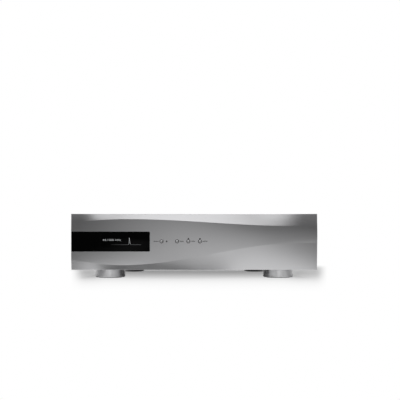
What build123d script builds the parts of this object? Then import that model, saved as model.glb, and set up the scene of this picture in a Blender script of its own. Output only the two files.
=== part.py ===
"""Audio master clock: a full-width case on four feet with a sculpted front panel.

Millimetres. +X is the right of the unit seen from the front, +Y runs back, +Z up.
The origin is on the floor under the middle of the footprint.
"""
from build123d import *
from math import cos, pi, radians, sin, tan
import os

os.makedirs("parts", exist_ok=True)

# Overall size
WIDTH = 444.0
DEPTH = 435.0
FOOT_HEIGHT = 16.5
PANEL_HEIGHT = 101.0
FRONT_Y = -DEPTH / 2
TAP_GAP = 0.05
SLIP_GAP = 0.2

# Front panel: heights are above its bottom edge, places along X are from its middle
PANEL_THICKNESS = 25.0
RIDGE_REACH = 2.5
BAND_BULGE = 0.7
PANEL_STATIONS = 13
UPPER_CREASE = [(-320.0, 79.5), (-123.3, 91.5), (184.1, 79.0), (300.0, 80.0)]
LOWER_CREASE = [(-351.5, 38.3), (-131.5, 8.3), (196.8, 48.8)]
UPPER_LEAN = [(-235.0, 0.0), (-150.0, 18.0), (120.0, 18.0), (250.0, 0.0)]
RIDGE_PROUD = [(-222.0, 0.0), (-80.0, 0.3), (110.0, 1.4), (222.0, 0.0)]
LOWER_LEAN = [(-215.0, 2.6), (-100.0, -10.5), (110.0, 5.0), (260.0, 1.0)]
DATUM_Y = FRONT_Y + RIDGE_REACH
PANEL_BACK_Y = FRONT_Y + PANEL_THICKNESS

# Display window and the pocket behind it
GLASS_RIGHT = -80.3
GLASS_BOTTOM = 33.5
GLASS_TOP = 68.9
GLASS_CORNER = 1.8
GLASS_THICKNESS = 3.0
GLASS_SINK = 0.3
GLASS_GAP = 0.1
GLASS_LEDGE = 4.0
FRONT_WALL = 6.4
POCKET_DEPTH = 6.0
POCKET_SIDE = 15.0
POCKET_RIGHT = 36.0
POCKET_BOTTOM = 28.0
POCKET_TOP = 74.0
BOARD_LEDGE = 6.0
BOARD_THICKNESS = 1.6
DISPLAY_THICKNESS = 5.4
DISPLAY_MARGIN = 3.0

# Buttons, their switches, indicator lenses and LEDs
CONTROL_HEIGHT = 51.2
BUTTON_PLACES = {
    "power_button": -58.8,
    "menu_button": -30.9,
    "group_one_button": -10.5,
    "group_two_button": 10.3,
}
BUTTON_RADIUS = 2.8
BUTTON_RING = 0.7
BUTTON_RING_DEPTH = 2.0
BUTTON_GAP = 0.05
BUTTON_PROUD = 0.2
BUTTON_TRAVEL = 0.8
COLLAR_RADIUS = 3.5
COLLAR_THICKNESS = 1.2
TIP_RADIUS = 1.6
TIP_ENTRY = 0.6
SWITCH_SIZE = 5.8
SWITCH_HEIGHT = 3.4
SWITCH_WELL_GAP = 0.3
SWITCH_WELL_DEPTH = TIP_ENTRY + BUTTON_TRAVEL + 1.0
LENS_RADIUS = 1.0
LENS_SINK = 0.1
LED_RADIUS = 1.45
LED_HEIGHT = 4.0
LENS_LED_GAP = 0.3
GROUP_LENS_RISE = 4.7
LENS_PLACES = [
    (-49.6, CONTROL_HEIGHT),
    (BUTTON_PLACES["group_one_button"], CONTROL_HEIGHT + GROUP_LENS_RISE),
    (BUTTON_PLACES["group_two_button"], CONTROL_HEIGHT + GROUP_LENS_RISE),
]

# Case
CASE_WIDTH = 440.0
CASE_INSET = 0.8
BASE_THICKNESS = 3.0
COVER_THICKNESS = 4.0
SIDE_THICKNESS = 10.0
REAR_THICKNESS = 3.0
SOCKET_REACH = 13.0
REAR_Y = DEPTH / 2 - SOCKET_REACH
REAR_INNER_Y = REAR_Y - REAR_THICKNESS
CASE_BOTTOM = FOOT_HEIGHT + CASE_INSET
CASE_TOP = FOOT_HEIGHT + PANEL_HEIGHT - CASE_INSET
INNER_BOTTOM = CASE_BOTTOM + BASE_THICKNESS
INNER_TOP = CASE_TOP - COVER_THICKNESS
INNER_HALF = CASE_WIDTH / 2 - SIDE_THICKNESS
MID_Z = (CASE_BOTTOM + CASE_TOP) / 2
SUBFRAME_THICKNESS = 3.0
SUBFRAME_FLANGE = 16.0
SUBFRAME_BACK_Y = PANEL_BACK_Y + SUBFRAME_THICKNESS

# Countersunk case screws
SCREW_RADIUS = 1.45
SCREW_HEAD_RADIUS = 3.0
SCREW_LENGTH = 11.0
SCREW_KEY_RADIUS = 1.1
SCREW_KEY_DEPTH = 1.4
SCREW_SINK = 0.1
SCREW_LINE = CASE_WIDTH / 2 - SIDE_THICKNESS / 2
SCREW_END_MARGIN = 22.0

# Inside: a supply bay along the left side panel and the clock board beyond its partition
SUPPLY_BAY = 138.0
PARTITION_X = SUPPLY_BAY - INNER_HALF

# Feet
FOOT_INSET_X = 57.7
FOOT_INSET_Y = 60.0
FOOT_X = CASE_WIDTH / 2 - FOOT_INSET_X
FOOT_Y = DEPTH / 2 - FOOT_INSET_Y
FOOT_RADIUS = 28.3
FOOT_ROUND = 2.6
FOOT_LIFT = 0.8
PAD_RADIUS = 22.0
PAD_HOLE_RADIUS = 8.0
PAD_DEPTH = 2.0
FOOT_BOLT_RADIUS = 2.95
FOOT_BOLT_HEAD_RADIUS = 5.0
FOOT_BOLT_HEAD = 6.0
FOOT_BOLT_SEAT = 3.0
FOOT_BOLT_RISE = 2.0

# Rear coaxial sockets: two rows of outputs beside the partition, then the reference input
SOCKET_ROWS = 2
SOCKET_COLUMNS = 4
SOCKET_PITCH_X = 26.0
SOCKET_PITCH_Z = 34.0
SOCKET_ROW_INSET = 30.0
SOCKET_ROW_X = PARTITION_X + SOCKET_ROW_INSET
REFERENCE_GAP = 56.0
REFERENCE_X = SOCKET_ROW_X + SOCKET_PITCH_X * (SOCKET_COLUMNS - 1) + REFERENCE_GAP
BARREL_RADIUS = 4.8
BARREL_BORE = 4.1
BARREL_DEPTH = 9.5
WEB_THICKNESS = 2.0
THREAD_RADIUS = 6.0
THREAD_RISE = 3.6
SOCKET_FLANGE_RADIUS = 8.0
SOCKET_FLANGE = 2.5
SOCKET_TAIL_RADIUS = 5.5
SOCKET_TAIL = 9.0
SOCKET_TAIL_BORE = 3.6
LUG_RADIUS = 1.0
LUG_REACH = 5.6
LUG_SETBACK = 4.5
INSULATOR_RADIUS = 2.5
INSULATOR_SETBACK = 1.0
CONTACT_RADIUS = 0.7
CONTACT_TAIL = 4.0
NUT_FLATS = 16.0
NUT_THICKNESS = 2.6

# Control port
SERIAL_GAP = 58.0
SERIAL_X = REFERENCE_X + SERIAL_GAP
SERIAL_FLANGE = (30.8, 12.5, 0.8)
SERIAL_MOUTH = (17.0, 8.4)
SERIAL_REACH = 6.0
SERIAL_WALL = 0.5
SERIAL_SLOPE = 80.0
SERIAL_ROUND = 2.0
SERIAL_TAIL = 7.0
JACK_SPACING = 25.0
JACK_FLATS = 5.0
JACK_LENGTH = 5.0
JACK_STUD_RADIUS = 1.5
JACK_STUD_LENGTH = 8.0
JACK_HOLE_RADIUS = 1.3
JACK_HOLE_DEPTH = 4.0

# Mains inlet module: offsets are seen from the front, from the module's middle
INLET_INSET = 60.0
INLET_X = INLET_INSET - CASE_WIDTH / 2
INLET_FLANGE = (66.0, 36.0, 3.0)
INLET_BODY = (51.0, 31.0, 30.0)
INLET_ROUND = 3.0
CAVITY_AT = (-12.0, 3.5)
CAVITY = (24.4, 16.4, 17.0)
CAVITY_CHAMFER = 5.0
BLADE = (2.0, 4.0, 14.0)
BLADE_SPACING = 14.0
BLADE_DROP = 2.0
BLADE_TAIL = 8.0
DRAWER_AT = (-12.0, -11.2)
DRAWER_FACE = (26.0, 7.6, 2.0)
DRAWER_TRAY = (23.4, 5.8, 21.0)
DRAWER_GAP = 0.2
DRAWER_NOTCH = 1.2
FUSE_RADIUS = 2.4
FUSE_LENGTH = 20.0
FUSE_CAP = 5.0
ROCKER_AT = 17.0
ROCKER_WIDTH = 11.6
ROCKER_RADIUS = 11.3
ROCKER_NOSE = 3.5
ROCKER_BACK = 3.0
ROCKER_TILT = 8.0
ROCKER_PIVOT_DEPTH = 3.0
ROCKER_WELL = 8.2
ROCKER_PIN_RADIUS = 1.2
ROCKER_PIN_LENGTH = 1.4
PIN_GAP = 0.05
INLET_SCREW_X = 28.6

# Partition, transformer and boards
PARTITION_THICKNESS = 2.0
PARTITION_FOOT = 12.0
PARTITION_HEIGHT = 78.0
TRANSFORMER_INSET = 68.0
TRANSFORMER_AT = (TRANSFORMER_INSET - INNER_HALF, -80.0)
TRANSFORMER_RADIUS = 54.0
TRANSFORMER_BORE = 16.0
TRANSFORMER_HEIGHT = 46.0
TRANSFORMER_CHAMFER = 10.0
PLATE_RADIUS = 34.0
PLATE_THICKNESS = 2.0
BOLT_RADIUS = 3.9
BOLT_HEAD_FLATS = 13.0
BOLT_HEAD_HEIGHT = 5.0
STANDOFF_HEIGHT = 8.0
STANDOFF_RADIUS = 3.0
BOARD_SCREW_RADIUS = 1.2
BOARD_SCREW_HEAD = 2.6
BOARD_SCREW_HEAD_HEIGHT = 2.0
BOARD_SCREW_LENGTH = 6.0
BOARD_HOLE_INSET = 5.0
BOARD_SIDE_GAP = 10.0
SUPPLY_BOARD_GAP = 12.0
CLOCK_BOARD_GAP = 16.0
SUPPLY_BOARD = ((BOARD_SIDE_GAP - INNER_HALF, PARTITION_X - SUPPLY_BOARD_GAP), (10.0, 150.0))
CLOCK_BOARD = ((PARTITION_X + CLOCK_BOARD_GAP, INNER_HALF - BOARD_SIDE_GAP), (-60.0, 160.0))
CLOCK_BOARD_MIDDLE = sum(CLOCK_BOARD[0]) / 2
CAPACITOR_RADIUS = 14.0
CAPACITOR_HEIGHT = 38.0
CAPACITOR_PITCH = 34.0
SINK_SIZE = (90.0, 22.0, 36.0)
SINK_FINS = 11
SINK_WEB = 4.0
REGULATOR = (10.0, 4.5, 16.0)
REGULATOR_PITCH = 18.0
REGULATORS = 4
OVEN = (36.0, 27.0, 16.0)
OVEN_OFFSETS = (-42.0, 38.0)
OVEN_PLACES = [(CLOCK_BOARD_MIDDLE + offset, 20.0) for offset in OVEN_OFFSETS]
CHIP = (14.0, 14.0, 2.4)
CHIP_ROWS = (4, 2)
CHIP_PITCH = (46.0, 50.0)
CHIP_MIDDLE = (CLOCK_BOARD_MIDDLE, 105.0)
RIBBON_WIDTH = 30.0
RIBBON_THICKNESS = 1.0
RIBBON_X = 12.0
RIBBON_SLOT = 10.0
RIBBON_REACH = 30.0
RIBBON_BEND = 8.0


def wave(x, turning_points):
    """Value at x on half cosine waves that run between turning points."""
    if x <= turning_points[0][0]:
        return turning_points[0][1]
    for (x_from, v_from), (x_to, v_to) in zip(turning_points, turning_points[1:]):
        if x <= x_to:
            share = (x - x_from) / (x_to - x_from)
            return v_from + (v_to - v_from) * (1 - cos(pi * share)) / 2
    return turning_points[-1][1]


def band_proud(x, height):
    """How far the middle band stands in front of the datum plane at a height."""
    top = wave(x, UPPER_CREASE)
    bottom = wave(x, LOWER_CREASE)
    ridge = wave(x, RIDGE_PROUD)
    share = (top - height) / (top - bottom)
    control = ridge / 2 + 2 * BAND_BULGE
    return 2 * share * (1 - share) * control + share**2 * ridge


def panel_profile(x):
    """Outline of the front panel's section at x, as (y, z) points and the band's control point."""
    top = wave(x, UPPER_CREASE)
    bottom = wave(x, LOWER_CREASE)
    ridge = wave(x, RIDGE_PROUD)
    top_recess = (PANEL_HEIGHT - top) * tan(radians(wave(x, UPPER_LEAN)))
    bottom_proud = ridge - bottom * tan(radians(wave(x, LOWER_LEAN)))
    corners = [
        (PANEL_BACK_Y, FOOT_HEIGHT),
        (DATUM_Y - bottom_proud, FOOT_HEIGHT),
        (DATUM_Y - ridge, FOOT_HEIGHT + bottom),
        (DATUM_Y, FOOT_HEIGHT + top),
        (DATUM_Y + top_recess, FOOT_HEIGHT + PANEL_HEIGHT),
        (PANEL_BACK_Y, FOOT_HEIGHT + PANEL_HEIGHT),
    ]
    control = (DATUM_Y - ridge / 2 - 2 * BAND_BULGE, FOOT_HEIGHT + (top + bottom) / 2)
    return corners, control


def block(x, y, z, mode=Mode.ADD):
    """A box between two limits along each axis, in the current part."""
    middle = [(low + high) / 2 for low, high in (x, y, z)]
    with Locations(tuple(middle)):
        Box(x[1] - x[0], y[1] - y[0], z[1] - z[0], mode=mode)


def around(middle, size):
    """The two limits of a span of a given size about its middle."""
    return (middle - size / 2, middle + size / 2)


def rear_plane(x, y, z):
    """A sketch plane that faces backwards, with its own x running as seen from the rear."""
    return Plane(origin=(x, y, z), x_dir=(-1, 0, 0), z_dir=(0, 1, 0))


def front_plane(x, y, z):
    """A sketch plane that faces forwards, with its own x along +X."""
    return Plane(origin=(x, y, z), x_dir=(1, 0, 0), z_dir=(0, -1, 0))


def turned_plane(x, z):
    """The plane of a half section turned about an axis along Y through (x, z)."""
    return Plane(origin=(x, 0, z), x_dir=(1, 0, 0), z_dir=(0, 0, 1))


def screw_seat(thickness):
    """A countersunk hole for a case screw, through a plate, at the current location."""
    CounterSinkHole(
        SCREW_RADIUS + SLIP_GAP, SCREW_HEAD_RADIUS + SLIP_GAP, thickness, counter_sink_angle=90
    )


def save(piece, name):
    """Label a finished piece and write it."""
    piece.part.label = name
    export_step(piece.part, f"parts/{name}.step")


# Front panel: one block lofted through its sections, then opened from behind
window_z = (FOOT_HEIGHT + GLASS_BOTTOM, FOOT_HEIGHT + GLASS_TOP)
control_z = FOOT_HEIGHT + CONTROL_HEIGHT
glass_front_y = DATUM_Y - GLASS_SINK
glass_back_y = glass_front_y + GLASS_THICKNESS
wall_back_y = DATUM_Y + FRONT_WALL
ledge_y = wall_back_y + POCKET_DEPTH
board_back_y = ledge_y + BOARD_THICKNESS
pocket_x = (-WIDTH / 2 + POCKET_SIDE, POCKET_RIGHT)
pocket_z = (FOOT_HEIGHT + POCKET_BOTTOM, FOOT_HEIGHT + POCKET_TOP)
outer_pocket_x = (pocket_x[0] - BOARD_LEDGE, pocket_x[1] + BOARD_LEDGE)
outer_pocket_z = (pocket_z[0] - BOARD_LEDGE, pocket_z[1] + BOARD_LEDGE)
window_width = GLASS_RIGHT + WIDTH / 2 + 2 * GLASS_CORNER
window_middle_x = GLASS_RIGHT - window_width / 2
window_middle_z = sum(window_z) / 2
button_spots = [(x, control_z) for x in BUTTON_PLACES.values()]
lens_spots = [(x, FOOT_HEIGHT + height) for x, height in LENS_PLACES]
switch_front_y = ledge_y - SWITCH_HEIGHT
sight_x = (-WIDTH / 2 + POCKET_SIDE + SLIP_GAP, GLASS_RIGHT - GLASS_LEDGE)
sight_z = (window_z[0] + GLASS_LEDGE, window_z[1] - GLASS_LEDGE)
subframe_screw_spots = [
    (x, z)
    for x in (-INNER_HALF + SUBFRAME_FLANGE, POCKET_RIGHT + 3 * BOARD_LEDGE, INNER_HALF - SUBFRAME_FLANGE)
    for z in (INNER_BOTTOM + SUBFRAME_FLANGE / 2, INNER_TOP - SUBFRAME_FLANGE / 2)
]
board_screw_spots = [
    (x, z)
    for x in (outer_pocket_x[0] + BOARD_LEDGE / 2, (outer_pocket_x[0] + outer_pocket_x[1]) / 2,
              outer_pocket_x[1] - BOARD_LEDGE / 2)
    for z in (outer_pocket_z[0] + BOARD_LEDGE / 2, outer_pocket_z[1] - BOARD_LEDGE / 2)
]

with BuildPart() as front_fascia:
    for station in range(PANEL_STATIONS):
        station_x = WIDTH * (station / (PANEL_STATIONS - 1) - 0.5)
        corners, control = panel_profile(station_x)
        with BuildSketch(Plane.YZ.offset(station_x)):
            with BuildLine():
                Polyline(corners[0], corners[1], corners[2])
                Bezier(corners[2], control, corners[3])
                Polyline(corners[3], corners[4], corners[5], corners[0])
            make_face()
    loft()
    block(pocket_x, (wall_back_y, ledge_y), pocket_z, mode=Mode.SUBTRACT)
    block(outer_pocket_x, (ledge_y, PANEL_BACK_Y), outer_pocket_z, mode=Mode.SUBTRACT)
    # Window rebate, open at the panel's left end, and the sight opening through its floor
    with BuildSketch(front_plane(window_middle_x, glass_back_y, window_middle_z)):
        RectangleRounded(window_width, GLASS_TOP - GLASS_BOTTOM, GLASS_CORNER)
    extrude(amount=GLASS_THICKNESS + RIDGE_REACH, mode=Mode.SUBTRACT)
    block(sight_x, (glass_back_y, wall_back_y), sight_z, mode=Mode.SUBTRACT)
    # Button bores with their wider mouths, and the lens holes
    with BuildSketch(front_plane(0, wall_back_y, 0)):
        with Locations(*button_spots):
            Circle(BUTTON_RADIUS + BUTTON_GAP)
        with Locations(*lens_spots):
            Circle(LENS_RADIUS + TAP_GAP)
    extrude(amount=FRONT_WALL + RIDGE_REACH, mode=Mode.SUBTRACT)
    with BuildSketch(front_plane(0, DATUM_Y + BUTTON_RING_DEPTH, 0)):
        with Locations(*button_spots):
            Circle(BUTTON_RADIUS + BUTTON_RING)
    extrude(amount=BUTTON_RING_DEPTH + RIDGE_REACH, mode=Mode.SUBTRACT)
    # Tapped holes in the back for the subframe and the control board
    with BuildSketch(front_plane(0, PANEL_BACK_Y, 0)):
        with Locations(*subframe_screw_spots):
            Circle(SCREW_RADIUS + TAP_GAP)
    extrude(amount=SCREW_LENGTH, mode=Mode.SUBTRACT)
    with BuildSketch(front_plane(0, ledge_y, 0)):
        with Locations(*board_screw_spots):
            Circle(BOARD_SCREW_RADIUS + TAP_GAP)
    extrude(amount=BOARD_SCREW_LENGTH, mode=Mode.SUBTRACT)
save(front_fascia, "front_fascia")

# Display window: a flat black glass in the rebate
with BuildPart() as display_glass:
    with BuildSketch(front_plane(window_middle_x, glass_back_y, window_middle_z)):
        RectangleRounded(window_width - 2 * GLASS_GAP, GLASS_TOP - GLASS_BOTTOM - 2 * GLASS_GAP, GLASS_CORNER)
    extrude(amount=GLASS_THICKNESS)
    block((-WIDTH, -WIDTH / 2), (FRONT_Y, wall_back_y), window_z, mode=Mode.SUBTRACT)
save(display_glass, "display_glass")

# Control board with the display module on its front, screwed to the panel's ledge
with BuildPart() as control_board:
    block(
        (outer_pocket_x[0] + SLIP_GAP, outer_pocket_x[1] - SLIP_GAP),
        (ledge_y, board_back_y),
        (outer_pocket_z[0] + SLIP_GAP, outer_pocket_z[1] - SLIP_GAP),
    )
    with BuildSketch(front_plane(0, board_back_y, 0)):
        with Locations(*board_screw_spots):
            Circle(BOARD_SCREW_RADIUS + SLIP_GAP)
    extrude(amount=BOARD_THICKNESS, mode=Mode.SUBTRACT)
save(control_board, "control_board")

with BuildPart() as display_panel:
    block(
        (sight_x[0] + DISPLAY_MARGIN, sight_x[1] + DISPLAY_MARGIN),
        (ledge_y - DISPLAY_THICKNESS, ledge_y),
        (sight_z[0] - DISPLAY_MARGIN, sight_z[1] + DISPLAY_MARGIN),
    )
    chamfer(display_panel.edges().filter_by(Axis.Y), length=DISPLAY_MARGIN / 2)
save(display_panel, "display_panel")

with BuildPart() as button_switches:
    with BuildSketch(front_plane(0, ledge_y, 0)):
        with Locations(*button_spots):
            RectangleRounded(SWITCH_SIZE, SWITCH_SIZE, SWITCH_SIZE / 10)
    extrude(amount=SWITCH_HEIGHT)
    with BuildSketch(front_plane(0, switch_front_y + SWITCH_WELL_DEPTH, 0)):
        with Locations(*button_spots):
            Circle(TIP_RADIUS + SWITCH_WELL_GAP)
    extrude(amount=SWITCH_WELL_DEPTH, mode=Mode.SUBTRACT)
save(button_switches, "button_switches")

with BuildPart() as status_leds:
    with BuildSketch(front_plane(0, ledge_y, 0)):
        with Locations(*lens_spots):
            Circle(LED_RADIUS)
    extrude(amount=LED_HEIGHT)
    chamfer(status_leds.faces().group_by(Axis.Y)[0].edges(), length=LED_RADIUS / 2)
save(status_leds, "status_leds")

with BuildPart() as status_lenses:
    for (lens_x, lens_height), (spot_x, spot_z) in zip(LENS_PLACES, lens_spots):
        lens_front_y = DATUM_Y - band_proud(lens_x, lens_height) + LENS_SINK
        with BuildSketch(front_plane(spot_x, ledge_y - LED_HEIGHT - LENS_LED_GAP, spot_z)):
            Circle(LENS_RADIUS)
        extrude(amount=ledge_y - LED_HEIGHT - LENS_LED_GAP - lens_front_y)
save(status_lenses, "status_lenses")

# Buttons: a round cap, a collar that stops behind the wall, and a tip that enters the switch
for name, button_x in BUTTON_PLACES.items():
    cap_front_y = DATUM_Y - band_proud(button_x, CONTROL_HEIGHT) - BUTTON_PROUD
    collar_front_y = wall_back_y + BUTTON_GAP
    collar_back_y = collar_front_y + COLLAR_THICKNESS
    with BuildPart() as button:
        with BuildSketch(front_plane(button_x, collar_front_y, control_z)):
            Circle(BUTTON_RADIUS)
        extrude(amount=collar_front_y - cap_front_y)
        chamfer(button.faces().sort_by(Axis.Y)[0].edges(), length=BUTTON_RADIUS / 10)
        with BuildSketch(front_plane(button_x, collar_back_y, control_z)):
            Circle(COLLAR_RADIUS)
        extrude(amount=COLLAR_THICKNESS)
        with BuildSketch(front_plane(button_x, switch_front_y + TIP_ENTRY, control_z)):
            Circle(TIP_RADIUS)
        extrude(amount=switch_front_y + TIP_ENTRY - collar_back_y)
    save(button, name)

# Subframe: a channel behind the panel, with flanges along the side panels
ribbon_z = control_z
with BuildPart() as front_subframe:
    block((-INNER_HALF, INNER_HALF), (PANEL_BACK_Y, SUBFRAME_BACK_Y), (INNER_BOTTOM, INNER_TOP))
    for side_x in ((-INNER_HALF, SUBFRAME_THICKNESS - INNER_HALF), (INNER_HALF - SUBFRAME_THICKNESS, INNER_HALF)):
        block(side_x, (SUBFRAME_BACK_Y, SUBFRAME_BACK_Y + SUBFRAME_FLANGE), (INNER_BOTTOM, INNER_TOP))
    block(
        around(RIBBON_X, RIBBON_WIDTH + RIBBON_SLOT / 2),
        (PANEL_BACK_Y, SUBFRAME_BACK_Y),
        around(ribbon_z, RIBBON_SLOT),
        mode=Mode.SUBTRACT,
    )
    for screw_x, screw_z in subframe_screw_spots:
        with Locations(rear_plane(screw_x, SUBFRAME_BACK_Y, screw_z)):
            screw_seat(SUBFRAME_THICKNESS)
save(front_subframe, "front_subframe")

# Case: base, sides, cover and rear panel, held by one kind of countersunk screw
case_middle_y = (PANEL_BACK_Y + REAR_INNER_Y) / 2
edge_screw_y = (PANEL_BACK_Y + SCREW_END_MARGIN, case_middle_y, REAR_INNER_Y - SCREW_END_MARGIN)
edge_screw_spots = [(x, y) for x in (-SCREW_LINE, SCREW_LINE) for y in edge_screw_y]
rear_screw_spots = [
    (x, z)
    for x in (-SCREW_LINE, SCREW_LINE)
    for z in (INNER_BOTTOM + SCREW_END_MARGIN / 2, MID_Z, INNER_TOP - SCREW_END_MARGIN / 2)
]
foot_spots = {
    "foot_front_left": (-FOOT_X, -FOOT_Y),
    "foot_front_right": (FOOT_X, -FOOT_Y),
    "foot_rear_left": (-FOOT_X, FOOT_Y),
    "foot_rear_right": (FOOT_X, FOOT_Y),
}
supply_z = INNER_BOTTOM + STANDOFF_HEIGHT


def board_corners(board):
    """Screw places near the four corners of a board given by its limits in X and Y."""
    (x_low, x_high), (y_low, y_high) = board
    return [
        (x, y)
        for x in (x_low + BOARD_HOLE_INSET, x_high - BOARD_HOLE_INSET)
        for y in (y_low + BOARD_HOLE_INSET, y_high - BOARD_HOLE_INSET)
    ]


standoff_spots = board_corners(SUPPLY_BOARD) + board_corners(CLOCK_BOARD)

with BuildPart() as base_plate:
    block((-CASE_WIDTH / 2, CASE_WIDTH / 2), (PANEL_BACK_Y, REAR_INNER_Y), (CASE_BOTTOM, INNER_BOTTOM))
    for screw_x, screw_y in edge_screw_spots:
        with Locations(Location((screw_x, screw_y, CASE_BOTTOM), (180, 0, 0))):
            screw_seat(BASE_THICKNESS)
    with BuildSketch(Plane.XY.offset(CASE_BOTTOM)):
        with Locations(*foot_spots.values()):
            Circle(FOOT_BOLT_RADIUS + TAP_GAP)
        with Locations(TRANSFORMER_AT):
            Circle(BOLT_RADIUS + TAP_GAP)
    extrude(amount=BASE_THICKNESS, mode=Mode.SUBTRACT)
save(base_plate, "base_plate")

for name, side in (("left_side_panel", -1), ("right_side_panel", 1)):
    with BuildPart() as side_panel:
        block(
            sorted((side * INNER_HALF, side * CASE_WIDTH / 2)),
            (PANEL_BACK_Y, REAR_INNER_Y),
            (INNER_BOTTOM, INNER_TOP),
        )
        with BuildSketch(Plane.XY.offset(INNER_TOP)):
            with Locations(*[spot for spot in edge_screw_spots if spot[0] * side > 0]):
                Circle(SCREW_RADIUS + TAP_GAP)
        extrude(amount=-SCREW_LENGTH, mode=Mode.SUBTRACT)
        with BuildSketch(Plane.XY.offset(INNER_BOTTOM)):
            with Locations(*[spot for spot in edge_screw_spots if spot[0] * side > 0]):
                Circle(SCREW_RADIUS + TAP_GAP)
        extrude(amount=SCREW_LENGTH, mode=Mode.SUBTRACT)
        with BuildSketch(front_plane(0, REAR_INNER_Y, 0)):
            with Locations(*[spot for spot in rear_screw_spots if spot[0] * side > 0]):
                Circle(SCREW_RADIUS + TAP_GAP)
        extrude(amount=SCREW_LENGTH, mode=Mode.SUBTRACT)
    save(side_panel, name)

with BuildPart() as top_cover:
    block((-CASE_WIDTH / 2, CASE_WIDTH / 2), (PANEL_BACK_Y, REAR_INNER_Y), (INNER_TOP, CASE_TOP))
    for screw_x, screw_y in edge_screw_spots:
        with Locations(Location((screw_x, screw_y, CASE_TOP))):
            screw_seat(COVER_THICKNESS)
save(top_cover, "top_cover")

socket_spots = {
    f"clock_output_{SOCKET_COLUMNS * row + column + 1}": (
        SOCKET_ROW_X + SOCKET_PITCH_X * column,
        MID_Z + SOCKET_PITCH_Z * ((SOCKET_ROWS - 1) / 2 - row),
    )
    for row in range(SOCKET_ROWS)
    for column in range(SOCKET_COLUMNS)
}
socket_spots["reference_input"] = (REFERENCE_X, MID_Z)
jack_spots = [(SERIAL_X - JACK_SPACING / 2, MID_Z), (SERIAL_X + JACK_SPACING / 2, MID_Z)]
inlet_screw_spots = [(INLET_X - INLET_SCREW_X, MID_Z), (INLET_X + INLET_SCREW_X, MID_Z)]

with BuildPart() as rear_panel:
    block((-CASE_WIDTH / 2, CASE_WIDTH / 2), (REAR_INNER_Y, REAR_Y), (CASE_BOTTOM, CASE_TOP))
    for screw_x, screw_z in rear_screw_spots:
        with Locations(rear_plane(screw_x, REAR_Y, screw_z)):
            screw_seat(REAR_THICKNESS)
    with BuildSketch(front_plane(0, REAR_Y, 0)):
        with Locations(*socket_spots.values()):
            Circle(THREAD_RADIUS + SLIP_GAP / 2)
        with Locations(*jack_spots):
            Circle(JACK_STUD_RADIUS + SLIP_GAP / 2)
        with Locations(*inlet_screw_spots):
            Circle(SCREW_RADIUS + TAP_GAP)
        with Locations((SERIAL_X, MID_Z)):
            Rectangle(SERIAL_MOUTH[0] + 2 * SLIP_GAP, SERIAL_MOUTH[1] + 2 * SLIP_GAP)
        with Locations((INLET_X, MID_Z)):
            Rectangle(INLET_BODY[0] + 2 * SLIP_GAP, INLET_BODY[1] + 2 * SLIP_GAP)
    extrude(amount=REAR_THICKNESS, mode=Mode.SUBTRACT)
save(rear_panel, "rear_panel")

# One countersunk screw with its key socket, head up at z = 0, repeated wherever the case needs one
with BuildPart() as case_screw:
    with BuildSketch(Plane.XZ):
        with BuildLine():
            Polyline(
                (0, 0), (SCREW_HEAD_RADIUS, 0), (SCREW_RADIUS, SCREW_RADIUS - SCREW_HEAD_RADIUS),
                (SCREW_RADIUS, -SCREW_LENGTH), (0, -SCREW_LENGTH), (0, 0),
            )
        make_face()
    revolve(axis=Axis.Z)
    with BuildSketch(Plane.XY):
        RegularPolygon(SCREW_KEY_RADIUS, 6)
    extrude(amount=-SCREW_KEY_DEPTH, mode=Mode.SUBTRACT)

with BuildPart() as case_screws:
    with Locations(*[Location((x, y, CASE_TOP - SCREW_SINK)) for x, y in edge_screw_spots]):
        add(case_screw.part)
    with Locations(*[Location((x, y, CASE_BOTTOM + SCREW_SINK), (180, 0, 0)) for x, y in edge_screw_spots]):
        add(case_screw.part)
    with Locations(*[rear_plane(x, REAR_Y - SCREW_SINK, z) for x, z in rear_screw_spots]):
        add(case_screw.part)
    with Locations(*[rear_plane(x, SUBFRAME_BACK_Y - SCREW_SINK, z) for x, z in subframe_screw_spots]):
        add(case_screw.part)
save(case_screws, "case_screws")

# Feet: turned metal with a rounded lower edge, a recessed rubber ring and a bolt from below
with BuildPart() as foot_blank:
    with BuildSketch(Plane.XY.offset(FOOT_LIFT)):
        Circle(FOOT_RADIUS)
    extrude(amount=CASE_BOTTOM - FOOT_LIFT)
    fillet(foot_blank.faces().sort_by(Axis.Z)[0].edges(), radius=FOOT_ROUND)
    with BuildSketch(Plane.XY.offset(FOOT_LIFT)):
        Circle(PAD_RADIUS + SLIP_GAP)
    extrude(amount=PAD_DEPTH - FOOT_LIFT, mode=Mode.SUBTRACT)
    with BuildSketch(Plane.XY.offset(FOOT_LIFT)):
        Circle(FOOT_BOLT_HEAD_RADIUS + SLIP_GAP)
    extrude(amount=CASE_BOTTOM - FOOT_LIFT - FOOT_BOLT_SEAT, mode=Mode.SUBTRACT)
    with BuildSketch(Plane.XY.offset(FOOT_LIFT)):
        Circle(FOOT_BOLT_RADIUS + SLIP_GAP)
    extrude(amount=CASE_BOTTOM - FOOT_LIFT, mode=Mode.SUBTRACT)

for name, (foot_x, foot_y) in foot_spots.items():
    with BuildPart() as foot:
        with Locations((foot_x, foot_y, 0)):
            add(foot_blank.part)
    save(foot, name)

with BuildPart() as foot_pads:
    with BuildSketch(Plane.XY):
        with Locations(*foot_spots.values()):
            Circle(PAD_RADIUS)
            Circle(PAD_HOLE_RADIUS, mode=Mode.SUBTRACT)
    extrude(amount=PAD_DEPTH)
save(foot_pads, "foot_pads")

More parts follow.
